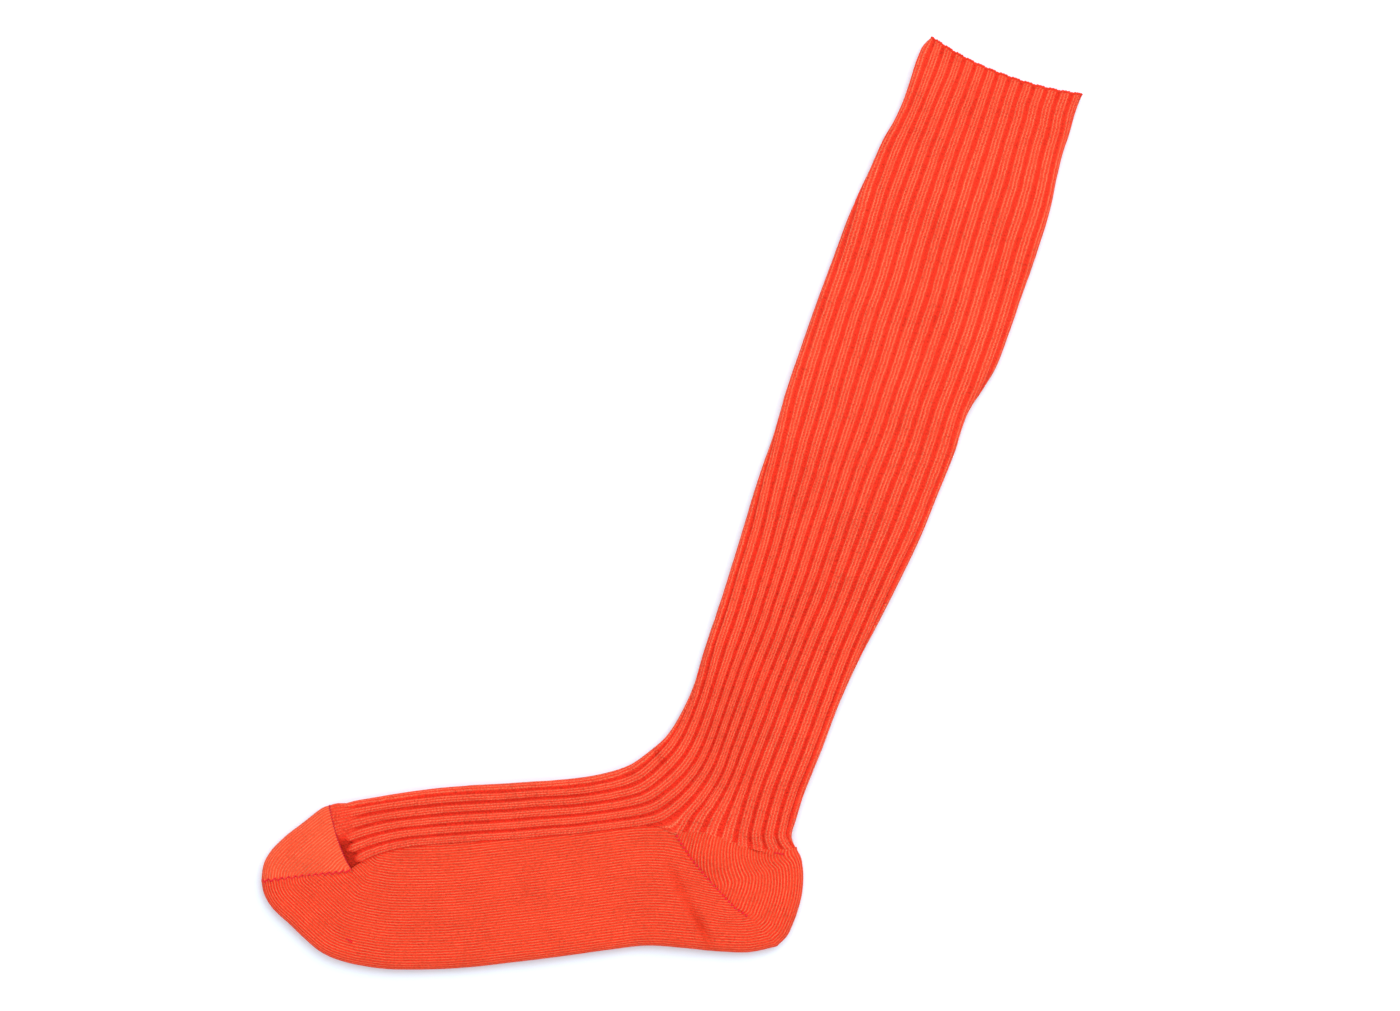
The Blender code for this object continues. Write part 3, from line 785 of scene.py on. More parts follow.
def put(mesh: bpy.types.Mesh, look: bpy.types.Material, slot: str, *nodes: str) -> None:
    """Place a finished mesh as a piece that rides on the sock.

    Args:
        mesh: Its mesh, already where it belongs, with the piece's name.
        look: Its material.
        slot: The record's material slot; not used.
        nodes: CAD nodes that it stands for.
    """
    mesh.materials.append(look)
    piece = bpy.data.objects.new(mesh.name, mesh)
    bpy.context.scene.collection.objects.link(piece)
    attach(piece, BODY)
    if nodes:
        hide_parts(*nodes)
    LOG.info("%s: %d faces", mesh.name, len(mesh.polygons))


# Node kinds and settings that the looks use again and again.
MATH, RANGE, NOISE, MIX = "ShaderNodeMath", "ShaderNodeMapRange", "ShaderNodeTexNoise", "ShaderNodeMix"
TIMES = {"operation": "MULTIPLY"}
TIMES_HELD = {"operation": "MULTIPLY", "use_clamp": True}
TIMES_PLUS = {"operation": "MULTIPLY_ADD"}
MINUS = {"operation": "SUBTRACT"}
SINE = {"operation": "SINE"}
SMOOTH = {"interpolation_type": "SMOOTHSTEP"}
COLOURS = {"data_type": "RGBA"}

# Noise of the cloth, its scale in waves a metre: soft clouds, uneven
# stitches, patches where they show more or less, and fibres.
CLOUDS = {"Scale": 55.0, "Detail": 3.0, "Roughness": 0.6}
WOBBLE = {"Scale": 380.0, "Detail": 3.0}
PATCHES = {"Scale": 240.0, "Detail": 2.0}
FLECKS = {"Scale": 1150.0, "Detail": 3.0, "Roughness": 0.75}
TWIST = {"Scale": 900.0, "Detail": 2.0}

# Map ranges by socket number: from low, from high, to low, to high.
MIDDLE_SPAN = {1: 0.30, 2: 0.06, 3: 0.0, 4: 1.0}
SHOWN_SPAN = {1: 0.15, 2: 1.0, 3: 0.08, 4: 1.0}
UNEVEN_SPAN = {1: 0.32, 2: 0.68, 3: 0.55, 4: 1.25}
CLOUD_SPAN = {1: 0.3, 2: 0.7, 3: 0.93, 4: 1.06}
SHADE_PAINT_SPAN = {1: -1.0, 2: 0.0, 3: 0.30, 4: 1.0}
LEG_LOW, LEG_HIGH = -0.9, 0.6
FLECK_LOW, FLECK_HIGH = 0.28, 0.72

# How far the wobble shifts a course, the strength of each yarn's bump, how
# far a wale sways with its courses for a leg contrast of one, and what legs
# and fibres add to the bump.
COURSE_WOBBLE = 1.8
COTTON_BUMP = 0.8
THREAD_BUMP = {"Strength": 0.5, "Distance": 0.1 * MM}
WALE_SWAY = 0.15
LEG_BUMP = 0.5
FLECK_BUMP = 1.2

COTTON_SURFACE = {
    "Roughness": 0.9, "IOR": 1.45, "Specular IOR Level": 0.08,
    "Sheen Weight": 0.05, "Sheen Roughness": 0.45, "Sheen Tint": srgb("FFB89C"),
}
THREAD_SURFACE = {"Roughness": 0.6, "Specular IOR Level": 0.15}
PAPER_SURFACE = {"Roughness": 0.95, "Specular IOR Level": 0.1}


def new_look(name: str) -> tuple[bpy.types.Material, bpy.types.NodeTree]:
    """Start a material: the material and its node tree."""
    look = bpy.data.materials.new(name)
    look.use_nodes = True
    return look, look.node_tree


def surface(tree: bpy.types.NodeTree, values: dict[str, Any]) -> None:
    """Set or link sockets of the material's one surface shader.

    Args:
        tree: Node tree of the material.
        values: Socket name to a constant, or to an output to link.
    """
    shader = tree.nodes["Principled BSDF"]
    for name, value in values.items():
        if isinstance(value, bpy.types.NodeSocket):
            tree.links.new(value, shader.inputs[name])
        else:
            shader.inputs[name].default_value = value


@dataclass(frozen=True)
class CottonFinish:
    """Combed cotton yarn, dyed orange red and knitted.

    The yarn is matt with a soft bloom of fibres and its stitches are small slanted legs. Its colour
    holds painted light: a deeper red of painted shade in valleys, holes and creases, and lighter lines
    of painted highlight between wales.
    """

    name: str
    crest_hex: str
    valley_shade_hex: str
    hole_shade_hex: str
    line_highlight_hex: str
    hole_strength: float
    line_strength: float
    line_width: float
    leg_contrast: float
    bump_mm: float
    slant: float
    grain: float
    waver: float

    def material(self) -> bpy.types.Material:
        """Build the knit from the stitch map and the crest attribute.

        Returns:
            The material.
        """
        look, tree = new_look(self.name)
        place = add_node(tree, "ShaderNodeTexCoord").outputs["Object"]
        crest = add_node(tree, "ShaderNodeAttribute", {"attribute_name": "crest"}).outputs["Fac"]
        fleck = add_node(tree, NOISE, None, {"Vector": place, **FLECKS}).outputs[0]
        leg, line, hole = self._stitches(tree, place)
        knit = self._knit_colour(tree, place, crest, line, hole)
        tint = self._tint(tree, place, crest, fleck)
        colour = add_node(tree, "ShaderNodeVectorMath", {"operation": "SCALE"}, {0: knit, 3: tint})
        ridge = add_node(tree, MATH, TIMES_PLUS, {0: leg, 1: LEG_BUMP * self.leg_contrast, 2: line})
        rough = add_node(tree, MATH, TIMES_PLUS, {0: fleck, 1: FLECK_BUMP, 2: ridge.outputs[0]})
        bump = add_node(tree, "ShaderNodeBump", None, {
            "Strength": COTTON_BUMP, "Distance": self.bump_mm * MM, "Height": rough.outputs[0],
        })
        surface(tree, {"Base Color": colour.outputs[0], "Normal": bump.outputs[0], **COTTON_SURFACE})
        return look

    def _stitches(
        self, tree: bpy.types.NodeTree, place: bpy.types.NodeSocket
    ) -> tuple[bpy.types.NodeSocket, bpy.types.NodeSocket, bpy.types.NodeSocket]:
        """Stitch legs, the lines between wales, and the holes.

        With f the distance from a wale's middle (0 to 0.5), the stitch leg
        is a sine of the course plus slant times f, the bright line between
        wales rises with f, and the hole between legs sits where f is small
        and the leg's sine is low.

        Args:
            tree: Node tree of the material.
            place: Places in the piece, in metres.

        Returns:
            Outputs with the leg (-1 to 1), the line and the hole (0 to 1).
        """
        stitch = add_node(tree, "ShaderNodeUVMap", {"uv_map": "stitch"}).outputs["UV"]
        wale, course = add_node(tree, "ShaderNodeSeparateXYZ", None, {0: stitch}).outputs[:2]
        wobble = add_node(tree, NOISE, None, {"Vector": place, **WOBBLE}).outputs[0]
        shift = add_node(tree, MATH, TIMES_PLUS, {0: wobble, 1: COURSE_WOBBLE, 2: course}).outputs[0]
        beat = add_node(tree, MATH, TIMES, {0: shift, 1: 2.0 * math.pi}).outputs[0]
        sway = add_node(tree, MATH, SINE, {0: beat}).outputs[0]
        for amount, value in ((WALE_SWAY * self.leg_contrast, sway), (2.0 * self.waver, wobble)):
            wale = add_node(tree, MATH, TIMES_PLUS, {0: value, 1: amount, 2: wale}).outputs[0]
        wale = add_node(tree, MATH, MINUS, {0: wale, 1: self.waver}).outputs[0]
        part = add_node(tree, MATH, {"operation": "FRACT"}, {0: wale}).outputs[0]
        centred = add_node(tree, MATH, MINUS, {0: part, 1: 0.5}).outputs[0]
        away = add_node(tree, MATH, {"operation": "ABSOLUTE"}, {0: centred}).outputs[0]
        lean = add_node(tree, MATH, TIMES_PLUS, {0: away, 1: self.slant, 2: shift}).outputs[0]
        turn = add_node(tree, MATH, TIMES, {0: lean, 1: 2.0 * math.pi}).outputs[0]
        leg = add_node(tree, MATH, SINE, {0: turn}).outputs[0]
        line_span = {1: 0.5 - self.line_width, 2: 0.5, 3: 0.0, 4: 1.0}
        line = add_node(tree, RANGE, SMOOTH, {0: away, **line_span}).outputs[0]
        middle = add_node(tree, RANGE, SMOOTH, {0: away, **MIDDLE_SPAN}).outputs[0]
        low_span = {1: LEG_HIGH, 2: LEG_LOW, 3: 1.0 - self.leg_contrast, 4: 1.0}
        low = add_node(tree, RANGE, None, {0: leg, **low_span}).outputs[0]
        hole = add_node(tree, MATH, TIMES, {0: middle, 1: low}).outputs[0]
        return leg, line, hole

    def _knit_colour(
        self,
        tree: bpy.types.NodeTree,
        place: bpy.types.NodeSocket,
        crest: bpy.types.NodeSocket,
        line: bpy.types.NodeSocket,
        hole: bpy.types.NodeSocket,
    ) -> bpy.types.NodeSocket:
        """Colour from the valley's painted shade to the crest, then lines of painted highlight and
        holes of painted shade.

        Lines and holes show most on the crests, and more in some patches
        than in others.

        Args:
            tree: Node tree of the material.
            place: Places in the piece, in metres.
            crest: Crest share.
            line: Share of the painted highlight on the line between wales.
            hole: Share of the painted shade in the hole between stitch legs.

        Returns:
            Output with the colour.
        """
        patch = add_node(tree, NOISE, None, {"Vector": place, **PATCHES}).outputs[0]
        shown = add_node(tree, RANGE, None, {0: crest, **SHOWN_SPAN}).outputs[0]
        uneven = add_node(tree, RANGE, None, {0: patch, **UNEVEN_SPAN}).outputs[0]
        shown = add_node(tree, MATH, TIMES, {0: shown, 1: uneven}).outputs[0]
        # The valley colour is painted shade: the deeper red of shade and caught light between the ribs.
        ends = {6: srgb(self.valley_shade_hex), 7: srgb(self.crest_hex)}
        cloth = add_node(tree, MIX, COLOURS, {0: crest, **ends}).outputs[2]
        # Painted light on the stitches: a lighter colour on the lines between wales, a darker one in
        # the holes.
        for mark, strength, code in (
            (line, self.line_strength, self.line_highlight_hex),
            (hole, self.hole_strength, self.hole_shade_hex),
        ):
            share = add_node(tree, MATH, TIMES, {0: mark, 1: shown}).outputs[0]
            share = add_node(tree, MATH, TIMES_HELD, {0: share, 1: strength}).outputs[0]
            cloth = add_node(tree, MIX, COLOURS, {0: share, 6: cloth, 7: srgb(code)}).outputs[2]
        return cloth

    def _tint(
        self,
        tree: bpy.types.NodeTree,
        place: bpy.types.NodeSocket,
        crest: bpy.types.NodeSocket,
        fleck: bpy.types.NodeSocket,
    ) -> bpy.types.NodeSocket:
        """Brightness of clouds times fibres, and painted shade where the crest is below 0.

        Args:
            tree: Node tree of the material.
            place: Places in the piece, in metres.
            crest: Crest share, which is negative in creases and the crack.
            fleck: Noise of the fibres.

        Returns:
            Output with the factor on the colour.
        """
        cloud = add_node(tree, NOISE, None, {"Vector": place, **CLOUDS}).outputs[0]
        mottle = add_node(tree, RANGE, None, {0: cloud, **CLOUD_SPAN}).outputs[0]
        grit_span = {1: FLECK_LOW, 2: FLECK_HIGH, 3: 1.0 - self.grain, 4: 1.0 + self.grain}
        grit = add_node(tree, RANGE, None, {0: fleck, **grit_span}).outputs[0]
        tint = add_node(tree, MATH, TIMES, {0: mottle, 1: grit}).outputs[0]
        # Below a crest share of 0, in creases and the crack, the colour darkens: painted shade.
        sunk = add_node(tree, RANGE, None, {0: crest, **SHADE_PAINT_SPAN}).outputs[0]
        return add_node(tree, MATH, TIMES, {0: tint, 1: sunk}).outputs[0]


@dataclass(frozen=True)
class ThreadFinish:
    """Crimson polyester sewing thread: smoother than the cotton, darker."""

    name: str
    main_hex: str
    dark_hex: str

    def material(self) -> bpy.types.Material:
        """Mix two close crimsons by fine noise and give a faint gloss.

        Returns:
            The material.
        """
        look, tree = new_look(self.name)
        place = add_node(tree, "ShaderNodeTexCoord").outputs["Object"]
        twist = add_node(tree, NOISE, None, {"Vector": place, **TWIST}).outputs[0]
        ends = {6: srgb(self.dark_hex), 7: srgb(self.main_hex)}
        colour = add_node(tree, MIX, COLOURS, {0: twist, **ends}).outputs[2]
        bump = add_node(tree, "ShaderNodeBump", None, {"Height": twist, **THREAD_BUMP}).outputs[0]
        surface(tree, {"Base Color": colour, "Normal": bump, **THREAD_SURFACE})
        return look


# How much closer the leg's rows lie at both ends, and how level the cuff's
# dip is in its middle.
ROW_CROWDING = 0.06
DIP_POWER = 2.2


@dataclass
class LegTracks:
    """Smooth lines of the leg: its folds, split and rib places."""

    def rows(self, count: int) -> tuple[np.ndarray, np.ndarray]:
        """Table rows from the cuff down, closer together at both ends.

        Args:
            count: Number of rows.

        Returns:
            The rows, and each one's way down in metres.
        """
        table = np.array(LEG_ROWS)
        heights = table[:, columns(LEG_COLUMNS, "front_y", "split_y", "back_y")]
        knots = 1.0 - heights.mean(axis=1)
        even = np.linspace(0.0, 1.0, count)
        closer = even - ROW_CROWDING * np.sin(2.0 * math.pi * even) / math.pi
        at = knots[0] + (knots[-1] - knots[0]) * closer
        return smooth_track(knots, table, at), (at - at[0]) * SIZES.leg_length

    def line(self, row: np.ndarray) -> np.ndarray:
        """Plan line back, split, front, with the cuff's dip and heel's bow."""
        scale = np.array([SIZES.calf_width, SIZES.leg_length])
        front, split, back = (
            row[columns(LEG_COLUMNS, edge + "_x", edge + "_y")] * scale
            for edge in ("front", "split", "back")
        )
        dip, bow = row[columns(LEG_COLUMNS, "dip", "bow")]
        way = np.linspace(0.0, 1.0, LINE_POINTS)
        heel = split + way[:, None] * (back - split)
        chord = np.linalg.norm(back - split)
        heel[:, 1] += bow * chord * np.interp(way, HEEL_TOP_WAY, HEEL_TOP_BOW)
        rest = split + way[:, None] * (front - split)
        line = np.concatenate([heel[::-1], rest[1:]])
        share = (line[:, 0] - front[0]) / (back[0] - front[0])
        line[:, 1] -= dip * SIZES.leg_length * (1.0 - np.abs(2.0 * share - 1.0) ** DIP_POWER)
        return line

    def runs(self, section: Section, row: np.ndarray, ribs: np.ndarray, near_heel: float) -> np.ndarray:
        """Cloth length of every rib round one section.

        The two folds and ribs 4.5, 8.5 and 10.5 have places of their own.
        Close to the heel the split rib is held on the split as well.  The
        rest lies evenly between.

        Args:
            section: The row's loop of cloth.
            row: The row's table values.
            ribs: Rib numbers of the columns.
            near_heel: 0 high up, 1 on the heel-top line.

        Returns:
            Lengths round the loop, one a column.
        """
        places = row[columns(LEG_COLUMNS, "rib_45", "rib_85", "rib_105")] * SIZES.calf_width
        back_rib, front_rib = row[columns(LEG_COLUMNS, "back_rib", "front_rib")]
        dist = np.interp(-places, -section.line[:, 0], section.along)
        heel, border, instep = (float(section.run_at(d)) for d in dist)
        whole = float(section.run[-1])
        fold = float(section.run[section.fold])
        free = heel + (border - heel) * (SPLIT_RIB - HEEL_RIB) / (BORDER_RIB - HEEL_RIB)
        held = float(section.run_at(section.along[LINE_POINTS - 1]))
        split = free + near_heel * (held - free)
        knots = (back_rib, HEEL_RIB, SPLIT_RIB, BORDER_RIB, INSTEP_RIB, front_rib, back_rib + RIB_COUNT)
        place = np.where(ribs < back_rib, ribs + RIB_COUNT, ribs)
        place = np.where(place > back_rib + RIB_COUNT, place - RIB_COUNT, place)
        return np.interp(place, knots, (0.0, heel, split, border, instep, fold, whole))


@dataclass(frozen=True)
class RibEnds:
    """How the ribs run out at the welt, the heel-top line and the toe seam.

    Lengths are metres along the sock.  Pairs are the start and end of an
    ease, or the middle and half width of a bell.
    """

    welt_ease: tuple[float, float] = (0.0, 3.0 * MM)
    welt_groove: tuple[float, float] = (2.6 * MM, 1.8 * MM)
    welt_share: float = 0.45
    groove_share: float = 1.1
    scallop: float = 0.28 * MM
    scallop_reach: float = 3.0 * MM
    heel_ease: tuple[float, float] = (0.0, 1.8 * MM)
    heel_share: float = 0.14
    calf_ease: tuple[float, float] = (0.40, 0.76)
    wider: float = 0.025
    toe_uneven: tuple[float, float] = (1.4 * MM, 16 * MM)
    toe_halves: tuple[float, float] = (10.4, 11.8)
    toe_rounding: float = 1.6 * MM
    upper_ease: tuple[float, float] = (3.6 * MM, 7.0 * MM)
    lower_ease: tuple[float, float] = (2.6 * MM, 4.6 * MM)
    toe_depths: tuple[float, float] = (0.10, 0.66)
    lobe_middle: float = 3.8 * MM
    lobe_swing: float = 1.0 * MM
    lobe_uneven: float = 0.3
    lobe_ease: tuple[float, float] = (-0.5 * MM, 0.6 * MM)
    upper_pit: tuple[float, float] = (5.6 * MM, 1.8 * MM)
    upper_pit_share: float = 0.30
    pit_depth: float = 1.80 * MM
    seam_depth: float = 0.5 * MM
    seam_reach: float = 1.2 * MM
    flat_crest: float = 0.60
    # Crest share taken away in the crack: painted shade in it.
    crack_shade: float = 0.58
    sliver_ease: tuple[float, float] = (1.0 * MM, 4.5 * MM)

    def leg_depth(self, ribs: np.ndarray, down: np.ndarray, lower: np.ndarray) -> np.ndarray:
        """Valley depth on the leg, deepest under the welt and at the ankle.

        Args:
            ribs: Rib number of each column.
            down: Way down from the cuff, shape (rows, 1).
            lower: 0 on the calf and 1 near the ankle, same shape.

        Returns:
            Depth in metres, shape (rows, columns).
        """
        opened = ease(*self.welt_ease, down)
        closing = ease(*self.heel_ease, down[-1] - down)
        heel_side = (ribs < SPLIT_RIB) | (ribs > RIB_COUNT - SPLIT_RIB)
        depth = SIZES.calf_rib_depth + (SIZES.rib_depth - SIZES.calf_rib_depth) * lower
        groove = self.groove_share * bell(down - self.welt_groove[0], self.welt_groove[1])
        depth = depth * (self.welt_share + (1.0 - self.welt_share) * opened + groove)
        held = self.heel_share + (1.0 - self.heel_share) * closing
        return depth * np.where(heel_side[None, :], held, 1.0)

    def toe_shape(
        self, ribs: np.ndarray, down: np.ndarray
    ) -> tuple[np.ndarray, np.ndarray, np.ndarray]:
        """Where the instep's ribs stand, dip and crack before the toe seam.

        Each rib ends rounded.  Beside the lower half of the seam a crack
        with a lobe at each rib lies between the ribs and the seam.

        Args:
            ribs: Rib number of each column.
            down: Way along from the ankle crease, shape (rows, 1).

        Returns:
            Share of the full rib, share of the pit's depth and share of the
            crack, each of shape (rows, columns).
        """
        left = down[-1] - down
        height, wave = self.toe_uneven
        uneven = height * wander(ribs[None, :] * 6 * MM, down, wave, 31)
        lower_half = (1.0 - ease(*self.toe_halves, ribs))[None, :]
        phase = (ribs - np.floor(ribs + 0.5))[None, :]
        rounded = left + uneven - self.toe_rounding * (2.0 * phase) ** 2
        upper_band = ease(*self.upper_ease, rounded) * (1.0 - lower_half)
        band = upper_band + ease(*self.lower_ease, rounded) * lower_half
        lobes = self.lobe_middle - self.lobe_swing * np.cos(2.0 * math.pi * phase)
        beyond = ease(*self.lobe_ease, left + self.lobe_uneven * uneven - lobes)
        crack = (1.0 - beyond) * lower_half
        middle, reach = self.upper_pit
        pit = bell(left - middle, reach) * self.upper_pit_share * (1.0 - lower_half) + crack
        return band, pit, crack


@dataclass
class RibbedTube:
    """Leg and instep: 28 two-by-two ribs from the cuff to the toe seam.

    The ankle is rounded by so many passes of averaging inside a window of so
    many rows.  The instep's tucked rows are sunk under the leg's last ones,
    whose very last row bends down to meet it.  Both set in over a part of a
    rib, counted from the split between heel and instep.
    """

    look: bpy.types.Material
    ends: RibEnds = RibEnds()
    leg_rows: int = 176
    instep_rows: int = 112
    leg_inner_step: int = 9
    instep_inner_step: int = 6
    near_heel: float = 16 * MM
    ankle_passes: int = 34
    ankle_window: float = 22.0
    round_ease: tuple[float, float] = (0.0, 0.9)
    tuck_rows: int = 2
    tuck_sinks: tuple[float, ...] = (0.30 * MM, 0.12 * MM)
    leg_end_sink: float = 0.22 * MM
    leg_end_ease: tuple[float, float] = (0.1, 0.7)
    leg: Knit = field(init=False)
    instep: Knit = field(init=False)

    def __post_init__(self) -> None:
        """Work out both grids and round the ribs through the ankle."""
        self._make_leg()
        self._make_instep()
        self._round_ankle()

    def _make_leg(self) -> None:
        """Leg grid, ribs closing up under the welt and at the heel-top."""
        tracks = LegTracks()
        rows, way = tracks.rows(self.leg_rows)
        self.leg_way = float(way[-1])
        ribs = np.arange(RIB_COUNT * SAMPLES_PER_RIB) / SAMPLES_PER_RIB
        down = way[:, None]
        lower = ease(*self.ends.calf_ease, down / down[-1])
        depth = self.ends.leg_depth(ribs, down, lower)
        relief, crest = rib_relief(ribs, down, depth, self.ends.wider * lower)
        scallop = self.ends.scallop * (crest - 0.5) * bell(down, self.ends.scallop_reach)
        outer, inner = [], []
        for i in range(self.leg_rows):
            section = Section(tracks.line(rows[i]), folds=2)
            near_heel = float(1.0 - ease(0.0, self.near_heel, way[-1] - way[i]))
            runs = tracks.runs(section, rows[i], ribs, near_heel)
            outer.append(section.points(runs, relief[i]))
            inner.append(section.points(runs, relief[i] - SIZES.wall))
        outer, inner = np.array(outer), np.array(inner)
        outer[..., 1] += scallop
        inner[..., 1] += scallop
        wales = ribs * WALES_PER_RIB
        self.leg = Knit(outer, inner, wales, np.empty(0), crest, True, self.leg_inner_step)

    def _make_instep(self) -> None:
        """Instep grid from the ankle crease to the toe seam."""
        way, top, border, _, places = FootTracks().rows(self.instep_rows)
        first = int(SPLIT_RIB * SAMPLES_PER_RIB)
        ribs = np.arange(first, RIB_COUNT * SAMPLES_PER_RIB - first + 1) / SAMPLES_PER_RIB
        down = way[:, None]
        left = down[-1] - down
        ends = self.ends
        band, pit, crack = ends.toe_shape(ribs, down)
        depth = SIZES.rib_depth * (ends.toe_depths[0] + ends.toe_depths[1] * band)
        relief, crest = rib_relief(ribs, down + self.leg_way, depth, ends.wider)
        low_gap = places[:, :1] * np.linalg.norm(top - border, axis=1)[:, None]
        sliver = (ribs[None, :] < BORDER_RIB) | (ribs[None, :] > RIB_COUNT - BORDER_RIB)
        raised = np.where(sliver, ease(*ends.sliver_ease, low_gap), 1.0)
        crest = crest * raised
        relief = np.where(raised < 1.0, -depth + raised * (relief + depth), relief)
        relief = relief - ends.pit_depth * pit - ends.seam_depth * bell(left, ends.seam_reach)
        outer, inner = [], []
        for i in range(self.instep_rows):
            section = Section(np.linspace(border[i], top[i], LINE_POINTS))
            whole = float(section.run[-1])
            low, high = (float(section.run_at(places[i, j] * section.length)) for j in (0, 1))
            back = whole - low
            knots = (SPLIT_RIB, BORDER_RIB, HIGH_RIB, RIB_COUNT - BORDER_RIB, RIB_COUNT - SPLIT_RIB)
            runs = np.interp(ribs, knots, (0.0, low, high, back, whole))
            outer.append(section.points(runs, relief[i]))
            inner.append(section.points(runs, relief[i] - SIZES.wall))
        # The pit and the crack lose their crest share, and the crack drops below 0: painted shade in
        # these hollows.
        flat = ends.flat_crest * (1.0 - band) * (1.0 - np.minimum(pit, 1.0))
        crest = crest * band + flat - ends.crack_shade * crack
        wales, step = ribs * WALES_PER_RIB, self.instep_inner_step
        grids = np.array(outer), np.array(inner)
        self.instep = Knit(*grids, wales, np.empty(0), crest, inner_step=step)

    def _round_ankle(self) -> None:
        """Round the rib lines through the ankle and settle both grids.

        Each rib line is averaged with its neighbours along its length,
        (1, 2, 1) / 4 many times over, inside a window about the crease.  The
        instep then starts a little earlier, sunk under the leg's last rows.
        """
        first = int(SPLIT_RIB * SAMPLES_PER_RIB)
        cols = slice(first, first + self.instep.outer.shape[1])
        ribs = self.instep.wales / WALES_PER_RIB
        inside = np.minimum(ribs - SPLIT_RIB, RIB_COUNT - SPLIT_RIB - ribs)
        weight = ease(*self.round_ease, inside)[None, :, None]
        sunk = np.array(self.tuck_sinks)[:, None]
        for grid in ("outer", "inner"):
            leg, instep = getattr(self.leg, grid), getattr(self.instep, grid)
            both = np.concatenate([leg[:, cols], instep[1:]])
            index = np.arange(len(both))[:, None, None]
            window = np.exp(-(((index - len(leg)) / self.ankle_window) ** 4))
            for _ in range(self.ankle_passes):
                mean = both.copy()
                mean[1:-1] = 0.25 * (both[:-2] + 2.0 * both[1:-1] + both[2:])
                both = both + weight * window * (mean - both)
            leg[:, cols] = both[:len(leg)]
            middle = 0.5 * SIZES.thick
            beyond = both[len(leg)].copy()
            beyond[:, 2] -= self.leg_end_sink * np.sign(beyond[:, 2] - middle)
            leg[-1, cols] += ease(*self.leg_end_ease, inside)[:, None] * (beyond - leg[-1, cols])
            setattr(self.leg, grid, settle(leg))
            tail = TOE_SEAM_BOW.bend(settle(both[len(leg) - 1 - self.tuck_rows:]))
            tail[:self.tuck_rows, :, 2] -= sunk * np.sign(tail[:self.tuck_rows, :, 2] - middle)
            setattr(self.instep, grid, tail)
        start = self.leg.crest[-1 - self.tuck_rows:-1, cols]
        self.instep.crest = np.concatenate([start, self.instep.crest])
        self.leg.courses = self._courses(self.leg.outer, np.zeros(self.leg.outer.shape[1]))
        start = self.leg.courses[-1 - self.tuck_rows, cols]
        self.instep.courses = self._courses(self.instep.outer, start)

    def _courses(self, grid: np.ndarray, start: np.ndarray) -> np.ndarray:
        """Course number of each point: length down its rib over pitch."""
        steps = np.linalg.norm(np.diff(grid, axis=0), axis=2)
        down = np.concatenate([np.zeros((1, grid.shape[1])), np.cumsum(steps, axis=0)])
        return start[None, :] + down / SIZES.rib_course

    def dress(self) -> None:
        """Put both meshes into the scene."""
        put(self.leg.mesh("ribbed_leg"), self.look, "ribbed_cotton", "leg")
        put(self.instep.mesh("ribbed_instep"), self.look, "ribbed_cotton", "instep")


@dataclass
class FootTracks:
    """Smooth lines of the foot: top edge, rib border and bottom edge."""

    def rows(self, count: int) -> tuple[np.ndarray, ...]:
        """Rows from the ankle crease to the toe seam.

        Returns:
            Each row's way along in metres, its top, border and bottom
            points, and the places of ribs 8.5 and 13.5.
        """
        table = np.array(FOOT_ROWS)
        knots = table[:, columns(FOOT_COLUMNS, "top_u", "border_u", "bottom_u")].mean(axis=1)
        at = np.linspace(knots[0], knots[-1], count)
        rows = smooth_track(knots, table, at)
        parts = (
            foot_points(rows[:, columns(FOOT_COLUMNS, edge + "_u", edge + "_v")])
            for edge in ("top", "border", "bottom")
        )
        places = rows[:, columns(FOOT_COLUMNS, "low_rib", "high_rib")]
        return (at - at[0]) * SIZES.foot_length, *parts, places


def edge_track(shares: Sequence[Sequence[float]], count: int) -> np.ndarray:
    """Evenly spread points on a smooth edge through foot shares."""
    points = foot_points(shares)
    knots = np.concatenate([[0.0], np.cumsum(np.linalg.norm(np.diff(points, axis=0), axis=1))])
    return smooth_track(knots, points, np.linspace(0.0, knots[-1], count))


